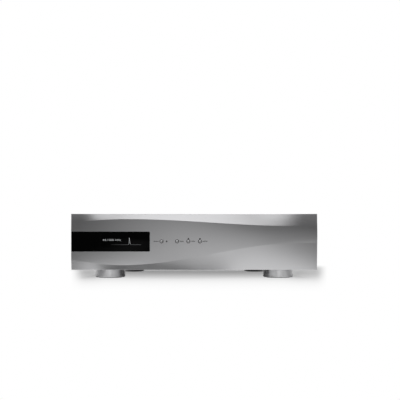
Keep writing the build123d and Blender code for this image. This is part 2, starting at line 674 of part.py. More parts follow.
with BuildPart() as foot_screws:
    with BuildSketch(Plane.XY.offset(CASE_BOTTOM - FOOT_BOLT_SEAT)):
        with Locations(*foot_spots.values()):
            Circle(FOOT_BOLT_HEAD_RADIUS)
    extrude(amount=-FOOT_BOLT_HEAD)
    with BuildSketch(Plane.XY.offset(CASE_BOTTOM - FOOT_BOLT_SEAT - FOOT_BOLT_HEAD)):
        with Locations(*foot_spots.values()):
            RegularPolygon(FOOT_BOLT_HEAD_RADIUS / 2, 6)
    extrude(amount=FOOT_BOLT_HEAD / 2, mode=Mode.SUBTRACT)
    with BuildSketch(Plane.XY.offset(CASE_BOTTOM - FOOT_BOLT_SEAT)):
        with Locations(*foot_spots.values()):
            Circle(FOOT_BOLT_RADIUS)
    extrude(amount=FOOT_BOLT_SEAT + BASE_THICKNESS + FOOT_BOLT_RISE)
save(foot_screws, "foot_screws")

# Coaxial sockets: bayonet barrel, threaded neck through the rear panel, flange and tail inside
barrel_tip_y = REAR_Y + SOCKET_REACH
web_y = barrel_tip_y - BARREL_DEPTH
flange_y = REAR_INNER_Y - SOCKET_FLANGE
tail_y = flange_y - SOCKET_TAIL


def turned(points, spot, mode=Mode.ADD):
    """Turn a closed (radius, y) outline about the axis along Y through spot."""
    x, z = spot
    with BuildSketch(turned_plane(x, z)) as outline:
        with BuildLine():
            Polyline(*points, points[0])
        make_face()
    revolve(outline.sketch, axis=Axis((x, 0, z), (0, 1, 0)), mode=mode)


for name, (socket_x, socket_z) in socket_spots.items():
    with BuildPart() as socket:
        turned(
            [
                (0, barrel_tip_y), (BARREL_RADIUS, barrel_tip_y), (BARREL_RADIUS, REAR_Y + THREAD_RISE),
                (THREAD_RADIUS, REAR_Y + THREAD_RISE), (THREAD_RADIUS, REAR_INNER_Y),
                (SOCKET_FLANGE_RADIUS, REAR_INNER_Y), (SOCKET_FLANGE_RADIUS, flange_y),
                (SOCKET_TAIL_RADIUS, flange_y), (SOCKET_TAIL_RADIUS, tail_y), (0, tail_y),
            ],
            (socket_x, socket_z),
        )
        with BuildSketch(Plane.YZ.offset(socket_x)):
            with Locations((barrel_tip_y - LUG_SETBACK, socket_z)):
                Circle(LUG_RADIUS)
        extrude(amount=LUG_REACH, both=True)
        turned(
            [
                (0, barrel_tip_y), (BARREL_BORE, barrel_tip_y), (BARREL_BORE, web_y),
                (INSULATOR_RADIUS + TAP_GAP, web_y), (INSULATOR_RADIUS + TAP_GAP, web_y - WEB_THICKNESS),
                (SOCKET_TAIL_BORE, web_y - WEB_THICKNESS), (SOCKET_TAIL_BORE, tail_y), (0, tail_y),
            ],
            (socket_x, socket_z),
            mode=Mode.SUBTRACT,
        )
    save(socket, name)

with BuildPart() as socket_insulators:
    for spot in socket_spots.values():
        turned(
            [
                (CONTACT_RADIUS + TAP_GAP, barrel_tip_y - INSULATOR_SETBACK),
                (INSULATOR_RADIUS, barrel_tip_y - INSULATOR_SETBACK),
                (INSULATOR_RADIUS, web_y - WEB_THICKNESS - TAP_GAP),
                (SOCKET_TAIL_BORE - TAP_GAP, web_y - WEB_THICKNESS - TAP_GAP),
                (SOCKET_TAIL_BORE - TAP_GAP, tail_y),
                (CONTACT_RADIUS + TAP_GAP, tail_y),
            ],
            spot,
        )
save(socket_insulators, "socket_insulators")

with BuildPart() as socket_contacts:
    with BuildSketch(front_plane(0, barrel_tip_y - INSULATOR_SETBACK, 0)):
        with Locations(*socket_spots.values()):
            Circle(CONTACT_RADIUS)
    extrude(amount=barrel_tip_y - INSULATOR_SETBACK - tail_y + CONTACT_TAIL)
save(socket_contacts, "socket_contacts")

with BuildPart() as socket_nuts:
    with BuildSketch(front_plane(0, REAR_Y + NUT_THICKNESS, 0)):
        with Locations(*socket_spots.values()):
            RegularPolygon(NUT_FLATS / 2, 6, major_radius=False)
            Circle(THREAD_RADIUS + TAP_GAP, mode=Mode.SUBTRACT)
    extrude(amount=NUT_THICKNESS)
save(socket_nuts, "socket_nuts")

# Control port: a flanged D-shaped shell with its insulator, held by two jack posts
serial_flange_y = REAR_Y + SERIAL_FLANGE[2]
serial_mouth_y = serial_flange_y + SERIAL_REACH


def serial_outline(inset):
    """The D shape of the port, seen from the front, smaller all round by an inset."""
    Trapezoid(SERIAL_MOUTH[0] - 2 * inset, SERIAL_MOUTH[1] - 2 * inset, SERIAL_SLOPE, rotation=180)


with BuildPart() as serial_port_shell:
    with BuildSketch(front_plane(SERIAL_X, serial_flange_y, MID_Z)):
        RectangleRounded(SERIAL_FLANGE[0], SERIAL_FLANGE[1], SERIAL_ROUND)
    extrude(amount=SERIAL_FLANGE[2])
    with BuildSketch(front_plane(SERIAL_X, serial_mouth_y, MID_Z)) as mouth:
        serial_outline(0)
        fillet(mouth.vertices(), radius=SERIAL_ROUND)
    extrude(amount=SERIAL_REACH)
    with BuildSketch(front_plane(SERIAL_X, serial_mouth_y, MID_Z)) as mouth:
        serial_outline(SERIAL_WALL)
        fillet(mouth.vertices(), radius=SERIAL_ROUND - SERIAL_WALL)
    extrude(amount=SERIAL_REACH + SERIAL_FLANGE[2], mode=Mode.SUBTRACT)
    with BuildSketch(front_plane(0, serial_flange_y, 0)):
        with Locations(*jack_spots):
            Circle(JACK_STUD_RADIUS + SLIP_GAP / 2)
    extrude(amount=SERIAL_FLANGE[2], mode=Mode.SUBTRACT)
save(serial_port_shell, "serial_port_shell")

with BuildPart() as serial_port_insulator:
    with BuildSketch(front_plane(SERIAL_X, serial_mouth_y - SERIAL_WALL, MID_Z)) as core:
        serial_outline(SERIAL_WALL + TAP_GAP)
        fillet(core.vertices(), radius=SERIAL_ROUND - SERIAL_WALL - TAP_GAP)
    extrude(amount=SERIAL_REACH + SERIAL_FLANGE[2] + REAR_THICKNESS + SERIAL_TAIL)
save(serial_port_insulator, "serial_port_insulator")

with BuildPart() as jack_posts:
    with BuildSketch(front_plane(0, serial_flange_y + JACK_LENGTH, 0)):
        with Locations(*jack_spots):
            RegularPolygon(JACK_FLATS / 2, 6, major_radius=False)
    extrude(amount=JACK_LENGTH)
    with BuildSketch(front_plane(0, serial_flange_y, 0)):
        with Locations(*jack_spots):
            Circle(JACK_STUD_RADIUS)
    extrude(amount=JACK_STUD_LENGTH)
    with BuildSketch(front_plane(0, serial_flange_y + JACK_LENGTH, 0)):
        with Locations(*jack_spots):
            Circle(JACK_HOLE_RADIUS)
    extrude(amount=JACK_HOLE_DEPTH, mode=Mode.SUBTRACT)
save(jack_posts, "jack_posts")

# Mains inlet module: plug cavity, fuse drawer tunnel and rocker well in one moulded housing
inlet_face_y = REAR_Y + INLET_FLANGE[2]
inlet_back_y = REAR_Y - INLET_BODY[2]
drawer_spot = (INLET_X + DRAWER_AT[0], MID_Z + DRAWER_AT[1])
rocker_x = INLET_X + ROCKER_AT
pivot_y = inlet_face_y - ROCKER_PIVOT_DEPTH
fuse_y = inlet_face_y - DRAWER_FACE[2] - DRAWER_TRAY[2] + 2 * FUSE_RADIUS
blade_spots = [
    (INLET_X + CAVITY_AT[0] - BLADE_SPACING / 2, MID_Z + CAVITY_AT[1] - BLADE_DROP),
    (INLET_X + CAVITY_AT[0] + BLADE_SPACING / 2, MID_Z + CAVITY_AT[1] - BLADE_DROP),
    (INLET_X + CAVITY_AT[0], MID_Z + CAVITY_AT[1] + BLADE_DROP),
]

with BuildPart() as mains_inlet:
    with BuildSketch(front_plane(INLET_X, inlet_face_y, MID_Z)):
        RectangleRounded(INLET_FLANGE[0], INLET_FLANGE[1], INLET_ROUND)
    extrude(amount=INLET_FLANGE[2])
    with BuildSketch(front_plane(INLET_X, REAR_Y, MID_Z)):
        Rectangle(INLET_BODY[0], INLET_BODY[1])
    extrude(amount=INLET_BODY[2])
    with BuildSketch(front_plane(INLET_X + CAVITY_AT[0], inlet_face_y, MID_Z + CAVITY_AT[1])) as cavity:
        Rectangle(CAVITY[0], CAVITY[1])
        chamfer(cavity.vertices().group_by(Axis.Y)[-1], length=CAVITY_CHAMFER)
    extrude(amount=CAVITY[2], mode=Mode.SUBTRACT)
    with BuildSketch(front_plane(drawer_spot[0], inlet_face_y, drawer_spot[1])):
        Rectangle(DRAWER_FACE[0] + 2 * DRAWER_GAP, DRAWER_FACE[1] + 2 * DRAWER_GAP)
    extrude(amount=DRAWER_FACE[2], mode=Mode.SUBTRACT)
    with BuildSketch(front_plane(drawer_spot[0], inlet_face_y, drawer_spot[1])):
        Rectangle(DRAWER_TRAY[0] + 2 * DRAWER_GAP, DRAWER_TRAY[1] + 2 * DRAWER_GAP)
    extrude(amount=DRAWER_FACE[2] + DRAWER_TRAY[2] + DRAWER_GAP, mode=Mode.SUBTRACT)
    with BuildSketch(front_plane(rocker_x, inlet_face_y, MID_Z)):
        Rectangle(ROCKER_WIDTH + 2 * SLIP_GAP, 2 * (ROCKER_RADIUS + SLIP_GAP))
    extrude(amount=ROCKER_WELL, mode=Mode.SUBTRACT)
    with BuildSketch(Plane.YZ.offset(rocker_x)):
        with Locations((pivot_y, MID_Z)):
            Circle(ROCKER_PIN_RADIUS + PIN_GAP)
    extrude(amount=ROCKER_WIDTH / 2 + ROCKER_PIN_LENGTH + SLIP_GAP, both=True, mode=Mode.SUBTRACT)
    with BuildSketch(front_plane(0, inlet_face_y - CAVITY[2], 0)):
        with Locations(*blade_spots):
            Rectangle(BLADE[0] + 2 * TAP_GAP, BLADE[1] + 2 * TAP_GAP)
    extrude(amount=INLET_BODY[2], mode=Mode.SUBTRACT)
    for screw_x, screw_z in inlet_screw_spots:
        with Locations(rear_plane(screw_x, inlet_face_y, screw_z)):
            screw_seat(INLET_FLANGE[2])
save(mains_inlet, "mains_inlet")

with BuildPart() as inlet_pins:
    with BuildSketch(front_plane(0, inlet_face_y - CAVITY[2] + BLADE[2], 0)):
        with Locations(*blade_spots):
            Rectangle(BLADE[0], BLADE[1])
    extrude(amount=inlet_face_y - CAVITY[2] + BLADE[2] - inlet_back_y + BLADE_TAIL)
    chamfer(inlet_pins.faces().group_by(Axis.Y)[-1].edges(), length=BLADE[0] / 4)
save(inlet_pins, "inlet_pins")

with BuildPart() as inlet_screws:
    with Locations(*[rear_plane(x, inlet_face_y - SCREW_SINK, z) for x, z in inlet_screw_spots]):
        add(case_screw.part)
save(inlet_screws, "inlet_screws")

with BuildPart() as fuse_drawer:
    with BuildSketch(front_plane(drawer_spot[0], inlet_face_y, drawer_spot[1])):
        Rectangle(DRAWER_FACE[0], DRAWER_FACE[1])
    extrude(amount=DRAWER_FACE[2])
    with BuildSketch(front_plane(drawer_spot[0], inlet_face_y - DRAWER_FACE[2], drawer_spot[1])):
        Rectangle(DRAWER_TRAY[0], DRAWER_TRAY[1])
    extrude(amount=DRAWER_TRAY[2])
    tray_floor_z = drawer_spot[1] + DRAWER_TRAY[1] / 2 - 2 * FUSE_RADIUS - SLIP_GAP
    block(
        around(drawer_spot[0], FUSE_LENGTH + 2 * SLIP_GAP),
        around(fuse_y, 2 * (FUSE_RADIUS + SLIP_GAP)),
        (tray_floor_z, drawer_spot[1] + DRAWER_TRAY[1]),
        mode=Mode.SUBTRACT,
    )
    block(
        around(drawer_spot[0], DRAWER_FACE[0] / 3),
        (inlet_face_y - DRAWER_NOTCH, inlet_face_y),
        (drawer_spot[1] - DRAWER_FACE[1] / 2, drawer_spot[1] - DRAWER_FACE[1] / 2 + DRAWER_NOTCH),
        mode=Mode.SUBTRACT,
    )
save(fuse_drawer, "fuse_drawer")

with BuildPart() as fuse:
    with BuildSketch(Plane.YZ.offset(drawer_spot[0])):
        with Locations((fuse_y, tray_floor_z + FUSE_RADIUS)):
            Circle(FUSE_RADIUS - TAP_GAP)
    extrude(amount=FUSE_LENGTH / 2, both=True)
    with BuildSketch(Plane.YZ.offset(drawer_spot[0])):
        with Locations((fuse_y, tray_floor_z + FUSE_RADIUS)):
            Circle(FUSE_RADIUS)
            Circle(FUSE_RADIUS - 2 * TAP_GAP, mode=Mode.SUBTRACT)
    extrude(amount=FUSE_LENGTH / 2 - FUSE_CAP, both=True, mode=Mode.SUBTRACT)
save(fuse, "fuse")

# Power rocker: a shallow V on a round body, tipped to its rest stop about the pins
rocker_slope = tan(radians(ROCKER_TILT))
rocker_plane = Plane(
    origin=(rocker_x, pivot_y, MID_Z),
    x_dir=(0, cos(radians(ROCKER_TILT)), sin(radians(ROCKER_TILT))),
    z_dir=(1, 0, 0),
)
with BuildPart() as power_rocker:
    with BuildSketch(rocker_plane):
        Circle(ROCKER_RADIUS)
        with BuildLine():
            Polyline(
                (-ROCKER_BACK, -2 * ROCKER_RADIUS),
                (ROCKER_NOSE + 2 * ROCKER_RADIUS * rocker_slope, -2 * ROCKER_RADIUS),
                (ROCKER_NOSE, 0),
                (ROCKER_NOSE + 2 * ROCKER_RADIUS * rocker_slope, 2 * ROCKER_RADIUS),
                (-ROCKER_BACK, 2 * ROCKER_RADIUS),
                (-ROCKER_BACK, -2 * ROCKER_RADIUS),
            )
        make_face(mode=Mode.INTERSECT)
    extrude(amount=ROCKER_WIDTH / 2, both=True)
    with BuildSketch(rocker_plane):
        Circle(ROCKER_PIN_RADIUS)
    extrude(amount=ROCKER_WIDTH / 2 + ROCKER_PIN_LENGTH, both=True)
save(power_rocker, "power_rocker")

# Inside: partition, transformer, supply board and clock board
with BuildPart() as inner_partition:
    block(
        (PARTITION_X, PARTITION_X + PARTITION_THICKNESS),
        (SUBFRAME_BACK_Y + SLIP_GAP, REAR_INNER_Y - SLIP_GAP),
        (INNER_BOTTOM, INNER_BOTTOM + PARTITION_HEIGHT),
    )
    block(
        (PARTITION_X, PARTITION_X + PARTITION_FOOT),
        (SUBFRAME_BACK_Y + SLIP_GAP, REAR_INNER_Y - SLIP_GAP),
        (INNER_BOTTOM, INNER_BOTTOM + PARTITION_THICKNESS),
    )
    block(
        (PARTITION_X, PARTITION_X + PARTITION_THICKNESS),
        around(case_middle_y, 2 * PARTITION_FOOT),
        around(INNER_BOTTOM + PARTITION_HEIGHT / 2, PARTITION_FOOT),
        mode=Mode.SUBTRACT,
    )
save(inner_partition, "inner_partition")

transformer_top = INNER_BOTTOM + TRANSFORMER_HEIGHT
with BuildPart() as mains_transformer:
    with BuildSketch(Plane.XZ.offset(-TRANSFORMER_AT[1])) as winding:
        with Locations((
            TRANSFORMER_AT[0] + (TRANSFORMER_RADIUS + TRANSFORMER_BORE) / 2,
            INNER_BOTTOM + TRANSFORMER_HEIGHT / 2,
        )):
            Rectangle(TRANSFORMER_RADIUS - TRANSFORMER_BORE, TRANSFORMER_HEIGHT)
        chamfer(winding.vertices(), length=TRANSFORMER_CHAMFER)
    revolve(axis=Axis((TRANSFORMER_AT[0], TRANSFORMER_AT[1], 0), (0, 0, 1)))
save(mains_transformer, "mains_transformer")

with BuildPart() as transformer_plate:
    with BuildSketch(Plane.XY.offset(transformer_top)):
        with Locations(TRANSFORMER_AT):
            Circle(PLATE_RADIUS)
            Circle(BOLT_RADIUS + SLIP_GAP, mode=Mode.SUBTRACT)
    extrude(amount=PLATE_THICKNESS)
save(transformer_plate, "transformer_plate")

with BuildPart() as transformer_bolt:
    with BuildSketch(Plane.XY.offset(transformer_top + PLATE_THICKNESS)):
        with Locations(TRANSFORMER_AT):
            RegularPolygon(BOLT_HEAD_FLATS / 2, 6, major_radius=False)
    extrude(amount=BOLT_HEAD_HEIGHT)
    with BuildSketch(Plane.XY.offset(CASE_BOTTOM)):
        with Locations(TRANSFORMER_AT):
            Circle(BOLT_RADIUS)
    extrude(amount=transformer_top + PLATE_THICKNESS - CASE_BOTTOM)
save(transformer_bolt, "transformer_bolt")

with BuildPart() as board_standoffs:
    with BuildSketch(Plane.XY.offset(INNER_BOTTOM)):
        with Locations(*standoff_spots):
            Circle(STANDOFF_RADIUS)
    extrude(amount=STANDOFF_HEIGHT)
    with BuildSketch(Plane.XY.offset(INNER_BOTTOM + STANDOFF_HEIGHT)):
        with Locations(*standoff_spots):
            Circle(BOARD_SCREW_RADIUS + TAP_GAP)
    extrude(amount=-BOARD_SCREW_LENGTH, mode=Mode.SUBTRACT)
save(board_standoffs, "board_standoffs")

for name, board in (("power_supply_board", SUPPLY_BOARD), ("clock_board", CLOCK_BOARD)):
    with BuildPart() as circuit_board:
        block(board[0], board[1], (supply_z, supply_z + BOARD_THICKNESS))
        with BuildSketch(Plane.XY.offset(supply_z)):
            with Locations(*board_corners(board)):
                Circle(BOARD_SCREW_RADIUS + SLIP_GAP)
        extrude(amount=BOARD_THICKNESS, mode=Mode.SUBTRACT)
    save(circuit_board, name)

board_top = supply_z + BOARD_THICKNESS
with BuildPart() as board_screw:
    with BuildSketch(Plane.XY):
        Circle(BOARD_SCREW_HEAD)
    extrude(amount=BOARD_SCREW_HEAD_HEIGHT)
    with BuildSketch(Plane.XY):
        Circle(BOARD_SCREW_RADIUS)
    extrude(amount=-BOARD_SCREW_LENGTH)

with BuildPart() as board_screws:
    with Locations(*[(x, y, board_top) for x, y in standoff_spots]):
        add(board_screw.part)
    with Locations(*[rear_plane(x, board_back_y, z) for x, z in board_screw_spots]):
        add(board_screw.part)
save(board_screws, "board_screws")

supply_middle_x = sum(SUPPLY_BOARD[0]) / 2
capacitor_spots = [
    (supply_middle_x + CAPACITOR_PITCH * (column - 1), SUPPLY_BOARD[1][0] + CAPACITOR_PITCH * (row + 0.75))
    for row in range(2)
    for column in range(3)
]
with BuildPart() as reservoir_capacitors:
    with BuildSketch(Plane.XY.offset(board_top)):
        with Locations(*capacitor_spots):
            Circle(CAPACITOR_RADIUS)
    extrude(amount=CAPACITOR_HEIGHT)
    chamfer(reservoir_capacitors.faces().group_by(Axis.Z)[-1].edges(), length=CAPACITOR_RADIUS / 10)
save(reservoir_capacitors, "reservoir_capacitors")

sink_back_y = SUPPLY_BOARD[1][1] - 2 * BOARD_HOLE_INSET
sink_front_y = sink_back_y - SINK_SIZE[1]
fin_pitch = SINK_SIZE[0] / (2 * SINK_FINS - 1)
with BuildPart() as regulator_heatsink:
    block(
        around(supply_middle_x, SINK_SIZE[0]),
        (sink_front_y, sink_front_y + SINK_WEB),
        (board_top, board_top + SINK_SIZE[2]),
    )
    for fin in range(SINK_FINS):
        fin_x = supply_middle_x + 2 * fin_pitch * (fin - (SINK_FINS - 1) / 2)
        block(around(fin_x, fin_pitch), (sink_front_y, sink_back_y), (board_top, board_top + SINK_SIZE[2]))
save(regulator_heatsink, "regulator_heatsink")

with BuildPart() as regulators:
    for place in range(REGULATORS):
        regulator_x = supply_middle_x + REGULATOR_PITCH * (place - (REGULATORS - 1) / 2)
        block(
            around(regulator_x, REGULATOR[0]),
            (sink_front_y - REGULATOR[1], sink_front_y),
            (board_top, board_top + REGULATOR[2]),
        )
save(regulators, "regulators")

with BuildPart() as crystal_ovens:
    with BuildSketch(Plane.XY.offset(board_top)):
        with Locations(*OVEN_PLACES):
            RectangleRounded(OVEN[0], OVEN[1], OVEN[1] / 12)
    extrude(amount=OVEN[2])
save(crystal_ovens, "crystal_ovens")

with BuildPart() as clock_chips:
    with BuildSketch(Plane.XY.offset(board_top)):
        with Locations(CHIP_MIDDLE):
            with GridLocations(CHIP_PITCH[0], CHIP_PITCH[1], CHIP_ROWS[0], CHIP_ROWS[1]):
                Rectangle(CHIP[0], CHIP[1])
    extrude(amount=CHIP[2])
save(clock_chips, "clock_chips")

# Ribbon cable from the control board, through the subframe, down onto the clock board
ribbon_end_y = CLOCK_BOARD[1][0] + 2 * BOARD_HOLE_INSET
with BuildPart() as ribbon_cable:
    with BuildSketch(Plane.YZ.offset(RIBBON_X)):
        with BuildLine():
            FilletPolyline(
                (board_back_y, ribbon_z),
                (SUBFRAME_BACK_Y + RIBBON_REACH, ribbon_z),
                (ribbon_end_y, board_top + 2 * RIBBON_BEND),
                (ribbon_end_y, board_top),
                radius=RIBBON_BEND,
            )
        trace(line_width=RIBBON_THICKNESS)
    extrude(amount=RIBBON_WIDTH / 2, both=True)
save(ribbon_cable, "ribbon_cable")
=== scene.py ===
"""Looks of an audio master clock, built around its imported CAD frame.

Metres. +X is the right of the unit seen from the front, +Y runs back, +Z up.
"""
import math

import bmesh
import bpy
from bpy.props import FloatProperty, FloatVectorProperty, PointerProperty, StringProperty
from mathutils import Matrix, Vector


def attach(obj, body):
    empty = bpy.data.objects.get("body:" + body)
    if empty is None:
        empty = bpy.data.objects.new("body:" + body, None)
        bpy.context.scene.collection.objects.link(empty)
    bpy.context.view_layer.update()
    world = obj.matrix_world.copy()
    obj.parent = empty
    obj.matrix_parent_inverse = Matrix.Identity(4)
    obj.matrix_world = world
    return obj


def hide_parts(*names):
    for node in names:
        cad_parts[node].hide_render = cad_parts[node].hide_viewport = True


bl_info = {
    "name": "Audio Master Clock",
    "version": (1, 0, 0),
    "blender": (4, 5, 0),
    "location": "3D View > Sidebar > Clock",
    "description": "Builds the looks of an audio master clock around its CAD frame",
    "category": "Object",
}

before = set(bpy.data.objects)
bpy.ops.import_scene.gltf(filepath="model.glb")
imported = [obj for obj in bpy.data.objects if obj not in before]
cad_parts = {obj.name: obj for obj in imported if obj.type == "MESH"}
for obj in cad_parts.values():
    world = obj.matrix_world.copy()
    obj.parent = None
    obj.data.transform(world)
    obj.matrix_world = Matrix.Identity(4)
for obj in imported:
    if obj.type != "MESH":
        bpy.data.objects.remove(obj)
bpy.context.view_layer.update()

MM = 0.001
DEG = math.pi / 180

# Front panel, in millimetres, with heights above its bottom edge: creases, leans in degrees and the ridge
# are waves through points along X
WIDTH = 444.0
FOOT_HEIGHT = 16.5
PANEL_HEIGHT = 101.0
FRONT_Y = -217.5
RIDGE_REACH = 2.5
DATUM_Y = FRONT_Y + RIDGE_REACH
PANEL_BACK_Y = FRONT_Y + 25.0
BAND_BULGE = 0.7
UPPER_CREASE = [(-320.0, 79.5), (-123.3, 91.5), (184.1, 79.0), (300.0, 80.0)]
LOWER_CREASE = [(-351.5, 38.3), (-131.5, 8.3), (196.8, 48.8)]
UPPER_LEAN = [(-240.0, 0.0), (-140.0, 18.0), (103.0, 18.0), (266.0, 0.0)]
RIDGE_PROUD = [(-222.0, 0.0), (-80.0, 0.3), (110.0, 1.4), (222.0, 0.0)]
LOWER_LEAN = [(-200.0, 5.0), (-112.0, -10.2), (110.0, 5.0), (260.0, 1.8)]
LOWER_HOLLOW = [(-95.0, 0.0), (-50.0, 4.0), (30.0, 4.0), (90.0, 0.0)]
PANEL_COLUMNS = 296
LOWER_ROWS = 12
BAND_ROWS = 40
UPPER_ROWS = 10

# Shading of the front, in millimetres and square ones, and the least agreement of two normals
FRONT_MARGIN = 0.3
SURFACE_MISS = 0.04
BROAD_FACE = 20.0
FLAT_ENOUGH = 0.8

# Window with its lit marks, and the pocket behind it: limits along X and of height, and places along Y
WINDOW = ((-222.0, -79.95), (32.85, 68.9))
WINDOW_CORNER = 1.8
WINDOW_SEAM_X = -169.3
DIGITS_START = (-165.1, 53.6)
DIGITS_WIDTH = 32.7
DIGITS_HEIGHT = 3.3
DIGITS_WEIGHT = -0.008
PULSE = [(-149.9, 45.3), (-118.7, 45.3), (-117.7, 46.8), (-117.0, 57.2), (-116.7, 57.2),
         (-115.6, 47.6), (-114.5, 45.3), (-96.4, 45.3)]
PULSE_WIDTH = 0.42
PULSE_TOP = FOOT_HEIGHT + 46.0
GLASS_GAP = 0.1
GLASS_ROUND = 0.12
GLASS_FRONT_Y = DATUM_Y - 0.3
GLASS_BACK_Y = GLASS_FRONT_Y + 3.0
WALL_BACK_Y = DATUM_Y + 6.4
LEDGE_Y = DATUM_Y + 12.4
POCKET = ((-207.0, 36.0), (28.0, 74.0))
BOARD_LEDGE = 6.0
SIGHT_LEDGE = 4.0
CUTTER_START_Y = FRONT_Y - 2.0
CUTTER_END_Y = WALL_BACK_Y + 1.0

# Buttons in their mouths, with a collar behind the wall and a plunger to the switch; bushes and lenses
CONTROL_HEIGHT = 51.2
CONTROL_Z = FOOT_HEIGHT + CONTROL_HEIGHT
BUTTON_PLACES = {
    "power_button": -58.8, "menu_button": -30.9, "group_one_button": -10.5, "group_two_button": 10.3,
}
BUTTON_RADIUS = 2.8
BUTTON_GAP = 0.05
BUTTON_SETBACK = 0.2
BUTTON_RIM = 0.45
BUTTON_EDGE = 0.25
BUTTON_RING = 0.7
BUTTON_RING_DEPTH = 2.0
BUTTON_MOUTH_CHAMFER = 0.15
COLLAR_RADIUS = 3.5
COLLAR_DEPTH = 1.2
PLUNGER_RADIUS = 1.6
PLUNGER_END_Y = LEDGE_Y - 2.8
BUSH_SETBACK = 0.45
BUSH_DEPTH = 1.2
BUSH_CHAMFER = 0.1
BUSH_INNER = BUTTON_RADIUS + 0.1
BUSH_OUTER = BUTTON_RADIUS + BUTTON_RING - 0.03
LENS_PLACES = [(-49.6, 51.2), (-10.5, 55.9), (10.3, 55.9)]
LENS_RADIUS = 1.0
LENS_GAP = 0.05
LENS_SETBACK = 0.1
LENS_DOME = [(0.0, 0.0), (0.4, 0.04), (0.75, 0.16), (LENS_RADIUS, 0.4)]
LENS_END_Y = LEDGE_Y - 4.3

# Meshes: the fold, in degrees, that stays sharp, and the height of capitals as a share of the text's size
SHARP_FOLD = 35.0
CAPITAL_SHARE = 0.69
FRONT_FACING = Matrix(((1, 0, 0, 0), (0, 0, -1, 0), (0, 1, 0, 0), (0, 0, 0, 1)))
REAR_FACING = Matrix(((-1, 0, 0, 0), (0, 0, 1, 0), (0, 1, 0, 0), (0, 0, 0, 1)))

# Prints, in millimetres: each of the front's numbers starts at a place along X, and the dash, the three
# lines and the collars round the lenses end in the width of their line
PRINT_LIFT = 0.02
LENS_COLLAR = (1.24, 0.34)
FRONT_NUMBERS = {"0": -72.7, "1": -64.4, "1 2 3 4": -6.4, "5 6 7 8": 15.6}
FRONT_NUMBER_HEIGHT = 1.9
FRONT_NUMBER_WEIGHT = 0.055
DASH = ((-70.0, -65.6), 0.9)
MENU_LINES = ((-25.8, -19.2), 0.36)
MENU_LINE_HEIGHTS = (50.5, 51.2, 51.9)
REAR_NUMBER_HEIGHT = 3.4
REAR_NUMBER_WEIGHT = 0.03
REAR_NUMBER_RISE = 12.6
GROUP_FRAMES = [(-57.0, 51.0, 1.0), (76.0, 108.0, -1.0), (128.0, 172.0, -1.0)]
GROUP_HEIGHTS = (35.0, 103.0)
GROUP_LINE = 0.4
ARROW_RISE = 4.6
ARROW_TIP = 3.0
ARROW_HALF = 2.4

# Case, feet and rear fittings, in millimetres; the sockets' outlines are radii and places from the rear
REAR_Y = 204.5
MID_Z = 67.0
CASE_BOTTOM = 17.3
FOOT_PLACES = {
    f"foot_{end}_{side}": (x, y)
    for end, y in (("front", -157.5), ("rear", 157.5))
    for side, x in (("left", -162.3), ("right", 162.3))
}
FOOT_RADIUS = 28.3
FOOT_LIFT = 0.8
FOOT_CURVE = 2.6
FOOT_TAPER = 0.9
FOOT_BORE = 3.15
WELL_RADIUS = 5.2
WELL_Z = CASE_BOTTOM - 3.0
PAD_RADIUS = 22.2
PAD_Z = 2.0
SOCKET_PLACES = {
    f"clock_output_{4 * row + column + 1}": (-42.0 + 26.0 * column, MID_Z + 34.0 * (0.5 - row))
    for row in range(2)
    for column in range(4)
}
SOCKET_PLACES["reference_input"] = (92.0, MID_Z)
SOCKET_BARREL = [(4.1, 3.5), (4.1, 12.7), (4.4, 13.0), (4.6, 13.0), (4.8, 12.8), (4.8, 3.9), (5.4, 3.9),
                 (5.7, 3.6)]
SOCKET_BODY = [(5.98, -3.0), (8.0, -3.0), (8.0, -5.5), (5.5, -5.5), (5.5, -14.5), (3.6, -14.5), (3.6, 1.5),
               (2.55, 1.5), (2.55, 3.5)]
THREAD_START = 3.6
THREAD_PITCH = 0.5
THREAD_TURNS = 13
THREAD_CREST = (5.98, 0.2)
THREAD_ROOT = (5.62, 0.45)
LUG = [(0.0, 4.5), (1.0, 4.5), (1.0, 5.4), (0.8, 5.6), (0.0, 5.6)]
LUG_Y = REAR_Y + 8.5
PORT_X = 150.0
PORT_FACE_Y = REAR_Y + 6.3
PORT_ROWS = [(1.42, 5), (-1.42, 4)]
PORT_PITCH = 2.77
PORT_HOLE = (0.5, 4.0)

# Rocker: its marks are a half length or a radius, the width of their line and a place above the middle
ROCKER_X = -143.0
ROCKER_NOSE = 3.5
ROCKER_TILT = 8.0
ROCKER_MARK_LIFT = 0.03
ROCKER_STROKE = (1.3, 0.5, 5.2)
ROCKER_RING = (1.4, 0.45, -5.4)

# Floor, in metres. The camera sees a shadow that fans out under the unit and darkens next to the feet: where
# the floor's white is taken away its own lit shade shows, and the fan's shape and its darker ends beside the
# unit are painted shadow
FLOOR_STRETCH = 1.24
FLOOR_MIDDLE_X = 0.08
FLOOR_NEAR_Y = -0.506
SHADOW_FAN = (-0.295, -0.258, 0.285, 0.318)
SHADOW_MIDDLE_Y = 0.225
SHADOW_FADE = (0.735, 0.075)
SHADOW_LEVEL = 0.69
PAINTED_SHADOW_ENDS = (0.205, 0.25, 0.27)
CONTACT_BOX = ((0.0, 0.27, 0.0), (0.27, 0.03, 0.0))
CONTACT_FADE = (0.0, 0.10)

# Painted reflection: the metal's glossy rays see a painted white card on the floor in front of it, with a
# darker gap in its near part, and open floor round it; the camera doesn't see the card
PAINTED_REFLECTION_CARD = (-0.225, -0.18, 0.20, 0.26)
PAINTED_REFLECTION_LEVEL = 0.93
PAINTED_REFLECTION_START = (-0.165, -0.215)
PAINTED_REFLECTION_GAP = (-0.115, -0.055, 0.01, 0.08)
PAINTED_REFLECTION_GAP_START = (-0.47, -0.37)
OPEN_FLOOR_BOX = ((0.0, 0.10, 0.0), (0.40, 0.28, 0.0))
OPEN_FLOOR_FADE = (0.0, 0.28, 0.85)
OPEN_FLOOR_START = (-0.30, -0.10)

# Drape, with its reach and its open side's place in metres
DRAPE_REACH = 4.0
DRAPE_CUT_Y = 1.5
